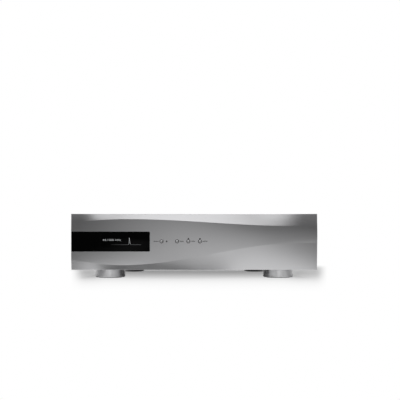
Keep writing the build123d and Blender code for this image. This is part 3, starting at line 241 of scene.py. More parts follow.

# Glow of the drape, as shares of its reach: how wide its bright middle is, low and high; where its sides
# brighten, and by how much; and the brightness of the middle from low to high. The drape glows by itself like
# a dim lamp; no lamp lights it
DRAPE_MIDDLE_X = 0.025
DRAPE_HALF_WIDTH = (0.50, 0.36, -0.14, -0.02)
DRAPE_HEIGHTS = (-0.5, 0.5)
DRAPE_SIDES = (-0.75, 0.36, 0.5)
DRAPE_LEVELS = [(0.2, 0.70), (0.45, 0.70), (0.55, 0.68), (0.66, 0.55), (0.74, 0.04), (1.0, 0.0)]

# Lamps: place, aim and size in metres, and a share of the stage's lamp level
LAMPS = {
    "front_top": ((-0.07, -1.716, 1.30), (-0.07, -0.216, 0.10), (1.22, 0.8), 1.0),
    "over": ((0.0, 0.134, 1.20), (0.0, -0.016, 0.0), (1.6, 1.2), 0.35),
}
CAMERA_SHIFT = (0.01443, 0.13875)
MIRRORED_WORLD = (0.6, 0.72)
WHITE = (1.0, 1.0, 1.0, 1.0)


def colour_setting(name, description, default):
    """A colour among the settings."""
    return FloatVectorProperty(
        name=name, description=description, subtype="COLOR", size=3, min=0.0, max=1.0, default=default,
    )


def share_setting(name, description, default):
    """A share from 0 to 1 among the settings."""
    return FloatProperty(
        name=name, description=description, subtype="FACTOR", min=0.0, max=1.0, default=default,
    )


def length_setting(name, description, default, **limits):
    """A length among the settings."""
    return FloatProperty(
        name=name, description=description, subtype="DISTANCE", unit="LENGTH", default=default, **limits,
    )


class ClockFinishes(bpy.types.PropertyGroup):
    """Colours and surface values of the clock's finishes."""

    aluminium: colour_setting("Panel aluminium", "Colour of the satin anodised panels", (0.64, 0.64, 0.65))
    panel_roughness: share_setting("Panel roughness", "Roughness of the satin anodised panels", 0.29)
    foot_aluminium: colour_setting("Foot aluminium", "Colour of the turned feet", (0.74, 0.74, 0.75))
    case_aluminium: colour_setting(
        "Case aluminium", "Colour of the plates behind the front panel", (0.58, 0.58, 0.59),
    )
    case_roughness: share_setting("Case roughness", "Roughness of the plates behind the front panel", 0.37)
    glass: colour_setting("Display glass", "Colour of the black display window", (0.003, 0.003, 0.003))
    ink: colour_setting("Ink", "Colour of the small printed marks", (0.012, 0.012, 0.012))
    glow: colour_setting("Display light", "Colour of the lit marks in the display", (0.72, 0.74, 0.75))


class ClockPanelSizes(bpy.types.PropertyGroup):
    """Small sizes of the sculpted front panel."""

    edge_round: length_setting(
        "Edge round", "Radius along the panel's outer edges", 0.00025, min=0.0001, max=0.0006,
    )
    button_dish: length_setting(
        "Button dish", "Depth of the shallow dish in each button", 0.00025, min=0.0, max=0.001,
    )
    display_digits: StringProperty(
        name="Display digits", description="Generic digits shown in the display", default="44.1000 kHz",
    )


class ClockStage(bpy.types.PropertyGroup):
    """Camera, lamps and floor."""

    camera_distance: length_setting("Camera distance", "From the camera to the front panel", 0.762, min=0.2)
    camera_height: length_setting("Camera height", "Height of the camera above the floor", 0.0423, min=0.01)
    lens: FloatProperty(
        name="Lens", description="Focal length of the camera, in millimetres", min=10.0, default=38.02,
    )
    lamp_level: FloatProperty(
        name="Lamp level", description="Brightness of the lamps' faces, where 1 is white",
        min=0.0, max=3.0, default=1.4,
    )
    drape_level: FloatProperty(
        name="Drape level", description="Brightness of the dark drape in front of the unit",
        min=0.0, max=1.0, default=0.05,
    )
    floor_reach: length_setting("Floor reach", "Radius of the pale floor", 0.76, min=0.4)
    floor: colour_setting("Floor", "Colour of the floor", (0.93, 0.93, 0.93))


# Node materials

def add_node(tree, kind, inputs=None, **settings):
    """A shader node with its settings and the values or links of its inputs."""
    made = tree.nodes.new(kind)
    for key, value in settings.items():
        setattr(made, key, value)
    for key, value in (inputs or {}).items():
        if isinstance(value, bpy.types.NodeSocket):
            tree.links.new(value, made.inputs[key])
        else:
            made.inputs[key].default_value = value
    return made


def calc(tree, operation, *values):
    """The result of a Math node on values or links."""
    return add_node(tree, "ShaderNodeMath", dict(enumerate(values)), operation=operation).outputs[0]


def vector_calc(tree, operation, *values):
    """The result of a Vector Math node: a number for a length or a dot product, else a vector."""
    made = add_node(tree, "ShaderNodeVectorMath", dict(enumerate(values)), operation=operation)
    return made.outputs["Value" if operation in ("LENGTH", "DOT_PRODUCT") else "Vector"]


def new_tree(blocks, name):
    """A new material or world with its node tree."""
    made = blocks.new(name)
    made.use_nodes = True
    return made, made.node_tree


def blank_finish(name, colour, roughness, metallic=0.0, **sockets):
    """A new material with its shader's plain values set; returns it with its node tree and shader."""
    material, tree = new_tree(bpy.data.materials, name)
    shader = tree.nodes["Principled BSDF"]
    shader.inputs["Base Color"].default_value = (*colour, 1.0)
    shader.inputs["Roughness"].default_value = roughness
    shader.inputs["Metallic"].default_value = metallic
    for key, value in sockets.items():
        shader.inputs[key.replace("_", " ")].default_value = value
    return material, tree, shader


def wire(tree, shader, **links):
    """Link patterns to a shader's sockets."""
    for key, value in links.items():
        tree.links.new(value, shader.inputs[key.replace("_", " ")])


def object_place(tree, centre=(0.0, 0.0, 0.0), stretch=(1.0, 1.0, 1.0)):
    """Object coordinates, moved to a centre and stretched."""
    coordinates = add_node(tree, "ShaderNodeTexCoord")
    moved = vector_calc(tree, "SUBTRACT", coordinates.outputs["Object"], centre)
    return vector_calc(tree, "MULTIPLY", moved, stretch)


def place_parts(tree, centre=(0.0, 0.0, 0.0), stretch=(1.0, 1.0, 1.0)):
    """The x, y and z of Object coordinates, moved to a centre and stretched."""
    return add_node(tree, "ShaderNodeSeparateXYZ", {0: object_place(tree, centre, stretch)}).outputs


def noise(tree, place, size, detail=2.0):
    """Noise with features of a real size, in metres."""
    return add_node(
        tree, "ShaderNodeTexNoise", {"Vector": place, "Scale": 1.0 / size, "Detail": detail}
    ).outputs[0]


def between(tree, value, low, high, from_low=0.3, from_high=0.7, **settings):
    """A value mapped from a range onto another."""
    return add_node(
        tree, "ShaderNodeMapRange",
        {"Value": value, "From Min": from_low, "From Max": from_high, "To Min": low, "To Max": high},
        **settings,
    ).outputs[0]


def rise(tree, value, low, high, top=1.0, base=0.0):
    """A smooth step of a value from a base value at one place to a top value at another."""
    return between(tree, value, base, top, low, high, interpolation_type="SMOOTHSTEP")


def plateau(tree, value, ends, top=1.0):
    """A smooth rise of a value from one pair of places and its fall at another pair."""
    up = rise(tree, value, ends[0], ends[1], top)
    return calc(tree, "MULTIPLY", up, rise(tree, value, ends[3], ends[2]))


def distance_from_box(tree, centre, half):
    """Distance on the floor from a box round a centre."""
    size = vector_calc(tree, "ABSOLUTE", object_place(tree, centre, (1.0, 1.0, 0.0)))
    beyond = vector_calc(tree, "SUBTRACT", size, half)
    return vector_calc(tree, "LENGTH", vector_calc(tree, "MAXIMUM", beyond, (0.0, 0.0, 0.0)))


def seen_directly(tree, rays):
    """1 for the rays that come straight, or through a clear piece, from the camera."""
    return calc(tree, "MAXIMUM", rays.outputs["Is Camera Ray"], rays.outputs["Is Transmission Ray"])


def colour_ramp(tree, value, stops):
    """A colour ramp over a value, from stops of a place and a colour."""
    ramp = add_node(tree, "ShaderNodeValToRGB", {"Fac": value})
    made = ramp.color_ramp.elements
    for place, colour in stops[1:-1]:
        made.new(place)
    for stop, (place, colour) in zip(made, stops):
        stop.position = place
        stop.color = (*colour, 1.0)
    return ramp.outputs["Color"]


def shade_range(tree, value, colour, spread):
    """A colour that varies a little darker and lighter with a value."""
    return colour_ramp(tree, value, [
        (place, [min(1.0, channel * factor) for channel in colour])
        for place, factor in ((0.3, 1.0 - spread), (0.7, 1.0 + spread))
    ])


def bump(tree, height, depth):
    """A bump normal from a height map, with its depth in metres."""
    return add_node(
        tree, "ShaderNodeBump", {"Height": height, "Distance": depth, "Strength": 1.0}
    ).outputs["Normal"]


def grained_finish(name, colour, roughness, grain, depth, metallic=0.0, stretch=(1.0, 1.0, 1.0),
                   spread=0.03, roughness_spread=0.03, patch=0.04, **sockets):
    """A finish with a fine grain in its surface and broad, faint changes of tone and gloss."""
    material, tree, shader = blank_finish(name, colour, roughness, metallic, **sockets)
    place = object_place(tree, stretch=stretch)
    broad = noise(tree, object_place(tree), patch, 3.0)
    fine = noise(tree, place, grain * MM, 3.0)
    wire(
        tree, shader, Base_Color=shade_range(tree, broad, colour, spread),
        Roughness=between(tree, broad, roughness - roughness_spread, roughness + roughness_spread),
        Normal=bump(tree, fine, depth * MM),
    )
    return material


def turned_finish(name, colour, roughness, centre, axis, pitch, depth, streak=0.6):
    """Lathe-turned metal: fine rings about an axis, whose gloss runs across the tool lines."""
    material, tree, shader = blank_finish(name, colour, roughness, metallic=1.0, Anisotropic=streak)
    across = tuple(0.0 if axis_part else 1.0 for axis_part in axis)
    place = object_place(tree, [part * MM for part in centre])
    flat = vector_calc(tree, "MULTIPLY", place, across)
    along = vector_calc(tree, "DOT_PRODUCT", place, axis)
    position = calc(tree, "ADD", vector_calc(tree, "LENGTH", flat), along)
    rings = add_node(
        tree, "ShaderNodeTexNoise", {"W": position, "Scale": 1.0 / (pitch * MM), "Detail": 3.0},
        noise_dimensions="1D",
    ).outputs[0]
    broad = noise(tree, place, 0.012)
    wire(
        tree, shader, Base_Color=shade_range(tree, rings, colour, 0.03),
        Roughness=between(tree, broad, roughness - 0.03, roughness + 0.03),
        Normal=bump(tree, rings, depth * MM),
        Tangent=vector_calc(tree, "ADD", vector_calc(tree, "NORMALIZE", flat), axis),
    )
    return material


def display_glass_finish(colour):
    """Black acrylic with the hairline edge of the display module showing faintly through it."""
    material, tree, shader = blank_finish("black_display_glass", colour, 0.12, Specular_IOR_Level=0.06)
    across = place_parts(tree, (WINDOW_SEAM_X * MM, 0.0, 0.0))[0]
    seam = calc(tree, "COMPARE", across, 0.0, 0.15 * MM)
    lighter = [channel + 0.009 for channel in colour]
    wire(
        tree, shader, Base_Color=colour_ramp(tree, seam, [(0.0, colour), (1.0, lighter)]),
        Roughness=between(tree, noise(tree, object_place(tree), 0.03), 0.06, 0.10),
    )
    return material


def glow_finish(colour):
    """Lit display dots: even light with the faint grid of the display's rows."""
    material, tree, shader = blank_finish("display_light", (0.0, 0.0, 0.0), 0.4, Emission_Strength=0.66)
    across, _, height = place_parts(tree)
    rows = calc(tree, "PINGPONG", height, 0.35 * MM)
    lit = shade_range(tree, between(tree, rows, 0.0, 1.0, 0.0, 0.35 * MM), colour, 0.12)
    line = calc(tree, "LESS_THAN", height, PULSE_TOP * MM)
    dim = calc(tree, "MULTIPLY", line, between(tree, across, 0.97, 0.76, -0.15, -0.118))
    faded = add_node(
        tree, "ShaderNodeMix", {"Factor": dim, "A": lit, "B": (0.0, 0.0, 0.0, 1.0)}, data_type="RGBA"
    )
    wire(tree, shader, Emission_Color=faded.outputs["Result"])
    return material


def board_finish():
    """Green solder mask with faint copper tracks under it."""
    material, tree, shader = blank_finish("solder_mask", (0.03, 0.16, 0.07), 0.35)
    tracks = add_node(
        tree, "ShaderNodeTexBrick",
        {"Vector": object_place(tree), "Scale": 120.0, "Mortar Size": 0.04,
         "Color1": (0.025, 0.13, 0.06, 1.0), "Color2": (0.03, 0.15, 0.07, 1.0),
         "Mortar": (0.05, 0.24, 0.11, 1.0)},
    )
    wire(tree, shader, Base_Color=tracks.outputs["Color"],
         Normal=bump(tree, tracks.outputs["Fac"], 0.03 * MM))
    return material


def winding_finish():
    """Overlapped amber wrap round the toroid's core."""
    colour = (0.55, 0.42, 0.12)
    material, tree, shader = blank_finish("winding_wrap", colour, 0.3)
    place = object_place(tree, (-0.142, -0.080, 0.0))
    angle = add_node(tree, "ShaderNodeTexGradient", {"Vector": place}, gradient_type="RADIAL").outputs["Fac"]
    lap = calc(tree, "FRACT", calc(tree, "MULTIPLY", angle, 60.0))
    wire(tree, shader, Base_Color=shade_range(tree, lap, colour, 0.18), Normal=bump(tree, lap, 0.2 * MM))
    return material


def ribbon_finish():
    """Grey flat cable with ribs between its cores and a red edge."""
    grey, red = (0.55, 0.55, 0.56), (0.45, 0.03, 0.03)
    material, tree, shader = blank_finish("flat_cable", grey, 0.45)
    across = place_parts(tree)[0]
    ribs = calc(tree, "PINGPONG", across, 0.635 * MM)
    edge = between(tree, across, 0.0, 1.0, -0.0020, -0.0018)
    wire(tree, shader, Base_Color=colour_ramp(tree, edge, [(0.0, red), (1.0, grey)]),
         Normal=bump(tree, ribs, 1.0))
    return material


FINISHES = {}

# Name, colour, roughness, size and depth of the grain in millimetres, metallic and other values
GRAINED = {
    "inner_aluminium": ("mill_aluminium", (0.62, 0.62, 0.63), 0.34, 0.12, 0.003, 1.0,
                        {"stretch": (0.02, 1.0, 1.0)}),
    "lens": ("smoked_lens", (0.02, 0.02, 0.02), 0.12, 0.3, 0.0005, 0.0, {"Coat_Weight": 0.3}),
    "black_plastic": ("moulded_black", (0.022, 0.022, 0.024), 0.42, 0.12, 0.008, 0.0, {"spread": 0.06}),
    "white_plastic": ("white_insulator", (0.82, 0.82, 0.79), 0.38, 0.3, 0.002, 0.0, {}),
    "rubber": ("black_rubber", (0.022, 0.022, 0.022), 0.75, 0.25, 0.015, 0.0, {"spread": 0.08}),
    "nickel": ("bright_nickel", (0.66, 0.64, 0.60), 0.16, 0.4, 0.001, 1.0, {"patch": 0.006}),
    "gold": ("gold_flash", (0.83, 0.60, 0.26), 0.2, 0.3, 0.001, 1.0, {"patch": 0.004}),
    "steel": ("zinc_plate", (0.52, 0.52, 0.53), 0.3, 0.2, 0.002, 1.0, {"patch": 0.01}),
    "screw": ("stainless_screw", (0.42, 0.42, 0.43), 0.28, 0.1, 0.001, 1.0, {"patch": 0.003}),
    "tube": ("clear_tube", (0.80, 0.85, 0.85), 0.05, 1.0, 0.0005, 0.0, {"Transmission_Weight": 0.8}),
    "white_ink": ("white_print", (0.8, 0.8, 0.78), 0.5, 0.1, 0.001, 0.0, {"spread": 0.04}),
}


def make_finishes(settings):
    """Make every finish of the clock once, under the name of its material slot or use."""
    for key, (*values, more) in GRAINED.items():
        FINISHES[key] = grained_finish(*values, **more)
    FINISHES.update({
        "panel": grained_finish(
            "satin_aluminium", tuple(settings.aluminium), settings.panel_roughness, 0.22, 0.0002, 1.0,
            spread=0.006, roughness_spread=0.006,
        ),
        "case": grained_finish(
            "blasted_case", tuple(settings.case_aluminium), settings.case_roughness, 0.25, 0.004, 1.0,
            spread=0.015, roughness_spread=0.02, patch=0.06,
        ),
        "ink": grained_finish("printed_ink", tuple(settings.ink), 0.5, 0.1, 0.001, spread=0.1),
        "glass": display_glass_finish(tuple(settings.glass)),
        "glow": glow_finish(tuple(settings.glow)),
        "board": board_finish(),
        "winding": winding_finish(),
        "ribbon": ribbon_finish(),
    })


def dress_nodes(finishes):
    """Give CAD nodes, kept as they are, their procedural materials."""
    for name, finish in finishes.items():
        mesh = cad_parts[name].data
        mesh.materials.clear()
        mesh.materials.append(FINISHES[finish])


# Shapes, in millimetres until a piece is finished

def wave(x, turning_points):
    """Value at x on half cosine waves that run between turning points."""
    if x <= turning_points[0][0]:
        return turning_points[0][1]
    for (x_from, v_from), (x_to, v_to) in zip(turning_points, turning_points[1:]):
        if x <= x_to:
            share = (x - x_from) / (x_to - x_from)
            return v_from + (v_to - v_from) * (1 - math.cos(math.pi * share)) / 2
    return turning_points[-1][1]


def zone_limits(x, zone):
    """Heights between which a zone of the front lies at x."""
    bottom, top = wave(x, LOWER_CREASE), wave(x, UPPER_CREASE)
    return {"lower": (0.0, bottom), "band": (bottom, top), "upper": (top, PANEL_HEIGHT)}[zone]


def zone_at(x, height):
    """The zone that a height lies in at x."""
    bottom, top = zone_limits(x, "band")
    return "lower" if height < bottom else "upper" if height > top else "band"


def share_at(x, height, zone):
    """How far up a zone a height lies at x."""
    low, high = zone_limits(x, zone)
    return (height - low) / (high - low)


def panel_surface(x, zone, share):
    """(y, height) on the front at x: share runs up through the lower zone, the band or the upper zone."""
    low, high = zone_limits(x, zone)
    height = low + (high - low) * share
    ridge = wave(x, RIDGE_PROUD)
    if zone == "lower":
        edge = ridge - high * math.tan(wave(x, LOWER_LEAN) * DEG)
        hollow = high * math.tan(wave(x, LOWER_HOLLOW) * DEG) * share * (1 - share)
        return DATUM_Y - edge - (ridge - edge) * share + hollow, height
    if zone == "upper":
        recess = (high - low) * math.tan(wave(x, UPPER_LEAN) * DEG)
        return DATUM_Y + recess * share, height
    control = ridge / 2 + 2 * BAND_BULGE
    proud = ridge * (1 - share) ** 2 + 2 * share * (1 - share) * control
    return DATUM_Y - proud, height


def band_y(x, z):
    """Place of the middle band's surface along Y at a point of the front."""
    return panel_surface(x, "band", share_at(x, z - FOOT_HEIGHT, "band"))[0]


def front_normal(x, height, zone):
    """The sculpted surface's own normal at a point of a zone."""
    share = share_at(x, height, zone)
    left, right, below, above = (
        Vector((at, *panel_surface(at, zone, up)))
        for at, up in ((x - 0.5, share), (x + 0.5, share), (x, share - 0.01), (x, share + 0.01))
    )
    return (right - left).cross(above - below).normalized()


def lay_front_normals(piece):
    """Shade the sculpted front by its formula, so that the cuts in its mesh don't show."""
    mesh = piece.data
    normals = [Vector((0.0, 0.0, 0.0))] * len(mesh.loops)
    broad = {}
    for face in mesh.polygons:
        if face.area > BROAD_FACE * MM * MM:
            for corner in face.vertices:
                broad[corner] = face.normal.copy()
    for face in mesh.polygons:
        x, y, z = face.center / MM
        height = z - FOOT_HEIGHT
        inside = abs(x) < WIDTH / 2 - FRONT_MARGIN and FRONT_MARGIN < height < PANEL_HEIGHT - FRONT_MARGIN
        corners = [(loop, mesh.loops[loop].vertex_index) for loop in face.loop_indices]
        if not inside or face.normal.y > -FLAT_ENOUGH:
            for loop, corner in corners:
                wide = broad.get(corner)
                if wide is not None and wide.dot(face.normal) > FLAT_ENOUGH:
                    normals[loop] = wide
            continue
        zone = zone_at(x, height)
        if abs(panel_surface(x, zone, share_at(x, height, zone))[0] - y) > SURFACE_MISS:
            continue
        for loop, corner in corners:
            place = mesh.vertices[corner].co / MM
            normals[loop] = front_normal(place.x, place.z - FOOT_HEIGHT, zone)
    mesh.normals_split_custom_set(normals)


def even_normals(piece):
    """Shade each flat face evenly, so that only the rounded edges beside it turn."""
    step = piece.modifiers.new("even_normals", "WEIGHTED_NORMAL")
    step.mode = "FACE_AREA"
    step.weight = 100
    step.keep_sharp = True


def link_object(name, data):
    """A new object in the scene with its data."""
    made = bpy.data.objects.new(name, data)
    bpy.context.scene.collection.objects.link(made)
    return made


def link_mesh(name, bm):
    """A new object in the scene whose mesh is a bmesh's."""
    mesh = bpy.data.meshes.new(name)
    bm.to_mesh(mesh)
    bm.free()
    return link_object(name, mesh)


def shown_mesh(made):
    """A bmesh of an object as it shows, with its cuts made or its text filled."""
    bpy.context.view_layer.update()
    mesh = bpy.data.meshes.new_from_object(made.evaluated_get(bpy.context.evaluated_depsgraph_get()))
    bm = bmesh.new()
    bm.from_mesh(mesh)
    bpy.data.meshes.remove(mesh)
    return bm


def above_foot(heights):
    """Two heights above the panel's bottom edge, as places along Z."""
    return tuple(FOOT_HEIGHT + height for height in heights)


def widened(limits, by):
    """Two limits moved apart, each by a margin."""
    return limits[0] - by, limits[1] + by


def box_mesh(x, y, z):
    """A mesh of a box between two limits along each axis."""
    bm = bmesh.new()
    bmesh.ops.create_cube(bm, size=1.0)
    size = Matrix.Diagonal((x[1] - x[0], y[1] - y[0], z[1] - z[0], 1.0))
    middle = Matrix.Translation([(low + high) / 2 for low, high in (x, y, z)])
    bmesh.ops.transform(bm, matrix=middle @ size, verts=bm.verts)
    return bm


def rod(radius, start, end):
    """Outline of a plain rod between two places along its axis."""
    return [(0.0, start), (radius, start), (radius, end), (0.0, end)]


def outline_corner(radius, place, curve, step):
    """Points of an outline round the edge of a turned end, from its face out to its side."""
    return [
        (radius - curve + curve * math.sin(turn * DEG), place + curve - curve * math.cos(turn * DEG))
        for turn in range(0, 91, step)
    ]


def turned_mesh(outline, centre, axis, steps, closed=False):
    """An outline of (radius, place along the axis) turned about an axis through a centre."""
    bm = bmesh.new()
    along = Vector(axis)
    across = Vector((0.0, 0.0, 1.0)) if abs(along.z) < 0.5 else Vector((1.0, 0.0, 0.0))
    points = [bm.verts.new(Vector(centre) + across * radius + along * place) for radius, place in outline]
    edges = [bm.edges.new(pair) for pair in zip(points, points[1:])]
    if closed:
        edges.append(bm.edges.new((points[-1], points[0])))
    bmesh.ops.spin(
        bm, geom=points + edges, cent=centre, axis=along, angle=2 * math.pi, steps=steps, use_merge=True,
    )
    bmesh.ops.remove_doubles(bm, verts=bm.verts, dist=0.0001)
    bmesh.ops.recalc_face_normals(bm, faces=bm.faces)
    return bm


def turned_along_y(outline, x, z, steps, closed=False):
    """An outline turned about a line that runs back through a point of the front or the rear."""
    return turned_mesh(outline, (x, 0.0, z), (0, 1, 0), steps, closed)


def joined(*parts):
    """One mesh of several."""
    whole = bmesh.new()
    for part in parts:
        mesh = bpy.data.meshes.new("part")
        part.to_mesh(mesh)
        part.free()
        whole.from_mesh(mesh)
        bpy.data.meshes.remove(mesh)
    return whole


def round_edges(bm, width, segments=2, angle=50.0, shortest=0.0, where=None):
    """Bevel the edges that fold past an angle and are long enough."""
    folds = [
        edge for edge in bm.edges
        if edge.is_manifold and edge.calc_face_angle() > angle * DEG and edge.calc_length() >= shortest
        and (where is None or where(edge))
    ]
    bmesh.ops.bevel(
        bm, geom=folds, offset=width, offset_type="OFFSET", affect="EDGES", segments=segments, profile=0.5,
        material=-1, clamp_overlap=True,
    )


def round_window_end(bm, radius):
    """Round the two corners at the right end of the window or of its rebate."""
    round_edges(
        bm, radius, 8,
        where=lambda edge: all(vert.co.x > WINDOW[0][0] + 1.0 for vert in edge.verts)
        and abs(edge.verts[0].co.y - edge.verts[1].co.y) > 1.0,
    )


def cut(bm, cutters):
    """Cut closed meshes out of a closed mesh."""
    piece = link_mesh("uncut", bm)
    tools = [link_mesh("cutter", cutter) for cutter in cutters]
    for tool in tools:
        step = piece.modifiers.new("cut", "BOOLEAN")
        step.object = tool
        step.operation = "DIFFERENCE"
        step.solver = "EXACT"
    whole = shown_mesh(piece)
    if not whole.faces:
        raise RuntimeError("a cut left nothing of the piece")
    for used in (piece, *tools):
        mesh = used.data
        bpy.data.objects.remove(used)
        bpy.data.meshes.remove(mesh)
    return whole


def finish_piece(bm, name, finish, replaced=(), body="case"):
    """Turn a mesh in millimetres into a piece: smooth where it curves, sharp where it folds."""
    if not bm.faces:
        raise RuntimeError(f"{name} has no faces")
    bmesh.ops.scale(bm, vec=(MM, MM, MM), verts=bm.verts)
    for face in bm.faces:
        face.smooth = True
        face.material_index = 0
    for edge in bm.edges:
        if edge.smooth:
            edge.smooth = edge.is_manifold and edge.calc_face_angle() < SHARP_FOLD * DEG
    piece = link_mesh(name, bm)
    piece.data.materials.clear()
    piece.data.materials.append(FINISHES[finish])
    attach(piece, body)
    if replaced:
        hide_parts(*replaced)
    return piece


def node_mesh(name):
    """A merged copy of a CAD node's mesh in millimetres, with its flat faces whole."""
    bm = bmesh.new()
    bm.from_mesh(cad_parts[name].data)
    bmesh.ops.scale(bm, vec=(1000.0, 1000.0, 1000.0), verts=bm.verts)
    bmesh.ops.remove_doubles(bm, verts=bm.verts, dist=0.001)
    bmesh.ops.dissolve_limit(bm, angle_limit=0.4 * DEG, verts=bm.verts, edges=bm.edges)
    return bm


def rounded_copy(node, name, finish, width, shortest, body="case"):
    """A CAD node's own shape with its long edges rounded, in place of the node."""
    bm = node_mesh(node)
    round_edges(bm, width, shortest=shortest)
    even_normals(finish_piece(bm, name, finish, (node,), body))


def text_mesh(words, height, weight, align="LEFT"):
    """Flat text as a mesh in its own plane, in millimetres, with capitals of a height and heavier strokes."""
    curve = bpy.data.curves.new("words", "FONT")
    curve.body = words
    curve.align_x = align
    curve.align_y = "CENTER"
    curve.resolution_u = 4
    curve.offset = weight
    holder = link_object("words", curve)
    bm = shown_mesh(holder)
    bmesh.ops.remove_doubles(bm, verts=bm.verts, dist=0.0001)
    bpy.data.objects.remove(holder)
    bpy.data.curves.remove(curve)
    size = height / CAPITAL_SHARE
    bmesh.ops.scale(bm, vec=(size, size, 1.0), verts=bm.verts)
    return bm


def strip_mesh(points, width):
    """A flat line of a given width through points, in its own plane."""
    parts = []
    for start, end in zip(points, points[1:]):
        start, end = Vector((*start, 0.0)), Vector((*end, 0.0))
        run = (end - start).normalized()
        length = (end - start).length + width
        bm = bmesh.new()
        bmesh.ops.create_grid(bm, x_segments=1, y_segments=1, size=0.5)
        turn = Matrix.Rotation(math.atan2(run.y, run.x), 4, "Z")
        size = Matrix.Diagonal((length, width, 1.0, 1.0))
        bmesh.ops.transform(bm, matrix=Matrix.Translation((start + end) / 2) @ turn @ size, verts=bm.verts)
        parts.append(bm)
    return joined(*parts)


def level_strip(ends, width, height):
    """A flat level line between two places along X, at a height."""
    return strip_mesh([(end, height) for end in ends], width)


def set_on(bm, facing, place):
    """Stand a flat mesh up to face the front or the rear at a place."""
    bmesh.ops.transform(bm, matrix=Matrix.Translation(place) @ facing, verts=bm.verts)
    return bm


class CLOCK_OT_finishes(bpy.types.Operator):
    """Make the clock's materials"""

    bl_idname = "clock.finishes"
    bl_label = "Finishes"

    def execute(self, context):
        make_finishes(context.scene.clock_finishes)
        return {"FINISHED"}


def sculpted_block(edge_round):
    """The front as a grid whose rows follow the creases, closed behind and rounded along its outer edges."""
    rows = LOWER_ROWS + BAND_ROWS + UPPER_ROWS
    crease_rows = (LOWER_ROWS, LOWER_ROWS + BAND_ROWS)
    bm = bmesh.new()
    bmesh.ops.create_grid(bm, x_segments=PANEL_COLUMNS, y_segments=rows, size=0.5)
    row_of = {vert: round((vert.co.y + 0.5) * rows) for vert in bm.verts}
    for vert, row in row_of.items():
        if row <= crease_rows[0]:
            zone, share = "lower", row / LOWER_ROWS
        elif row <= crease_rows[1]:
            zone, share = "band", (row - crease_rows[0]) / BAND_ROWS
        else:
            zone, share = "upper", (row - crease_rows[1]) / UPPER_ROWS
        x = WIDTH * vert.co.x
        y, height = panel_surface(x, zone, share)
        vert.co = (x, y, FOOT_HEIGHT + height)
    for edge in bm.edges:
        first, second = (row_of[vert] for vert in edge.verts)
        if first == second and first in crease_rows:
            edge.smooth = False
    border = [edge for edge in bm.edges if edge.is_boundary]
    for part in bmesh.ops.extrude_edge_only(bm, edges=border)["geom"]:
        if isinstance(part, bmesh.types.BMVert):
            part.co.y = PANEL_BACK_Y
    bmesh.ops.holes_fill(bm, edges=[edge for edge in bm.edges if edge.is_boundary], sides=0)
    bmesh.ops.recalc_face_normals(bm, faces=bm.faces)
    round_edges(bm, edge_round, 3, where=lambda edge: all(vert.co.y < DATUM_Y + 5.0 for vert in edge.verts))
    return bm


def front_openings():
    """What is cut out of the front: board ledge, pocket, window rebate, sight behind it and bores."""
    (x_pocket, pocket_heights), (x_window, window_heights) = POCKET, WINDOW
    z_pocket, z_window = above_foot(pocket_heights), above_foot(window_heights)
    rebate = box_mesh((-WIDTH / 2 - 9.0, x_window[1]), (FRONT_Y - 3.0, GLASS_BACK_Y), z_window)
    round_window_end(rebate, WINDOW_CORNER)
    sight = box_mesh(
        (x_pocket[0] + 0.2, x_window[1] - SIGHT_LEDGE), (GLASS_BACK_Y - 1.0, CUTTER_END_Y),
        widened(z_window, -SIGHT_LEDGE),
    )
    bore, mouth = BUTTON_RADIUS + BUTTON_GAP, BUTTON_RADIUS + BUTTON_RING
    shoulder_y = DATUM_Y + BUTTON_RING_DEPTH
    bores = []
    for x in BUTTON_PLACES.values():
        chamfer_y = band_y(x, CONTROL_Z) + BUTTON_MOUTH_CHAMFER
        outline = [
            (0.0, CUTTER_START_Y), (mouth + chamfer_y - CUTTER_START_Y, CUTTER_START_Y), (mouth, chamfer_y),
            (mouth, shoulder_y), (bore, shoulder_y), (bore, CUTTER_END_Y), (0.0, CUTTER_END_Y),
        ]
        bores.append(turned_along_y(outline, x, CONTROL_Z, 64))
    for x, height in LENS_PLACES:
        outline = rod(LENS_RADIUS + LENS_GAP, CUTTER_START_Y, CUTTER_END_Y)
        bores.append(turned_along_y(outline, x, FOOT_HEIGHT + height, 32))
    x_ledge, z_ledge = widened(x_pocket, BOARD_LEDGE), widened(z_pocket, BOARD_LEDGE)
    return [
        box_mesh(x_ledge, (LEDGE_Y, PANEL_BACK_Y + 1.0), z_ledge),
        box_mesh(x_pocket, (WALL_BACK_Y, LEDGE_Y + 1.0), z_pocket),
        rebate, sight, joined(*bores),
    ]


class CLOCK_OT_front_panel(bpy.types.Operator):
    """Sculpt the front panel: a grid drawn over its creases, closed behind, opened and drilled"""

    bl_idname = "clock.front_panel"
    bl_label = "Front panel"

    def execute(self, context):
        bm = cut(sculpted_block(context.scene.clock_panel.edge_round / MM), front_openings())
        panel = finish_piece(bm, "sculpted_panel", "panel", ("front_fascia",))
        lay_front_normals(panel)
        return {"FINISHED"}


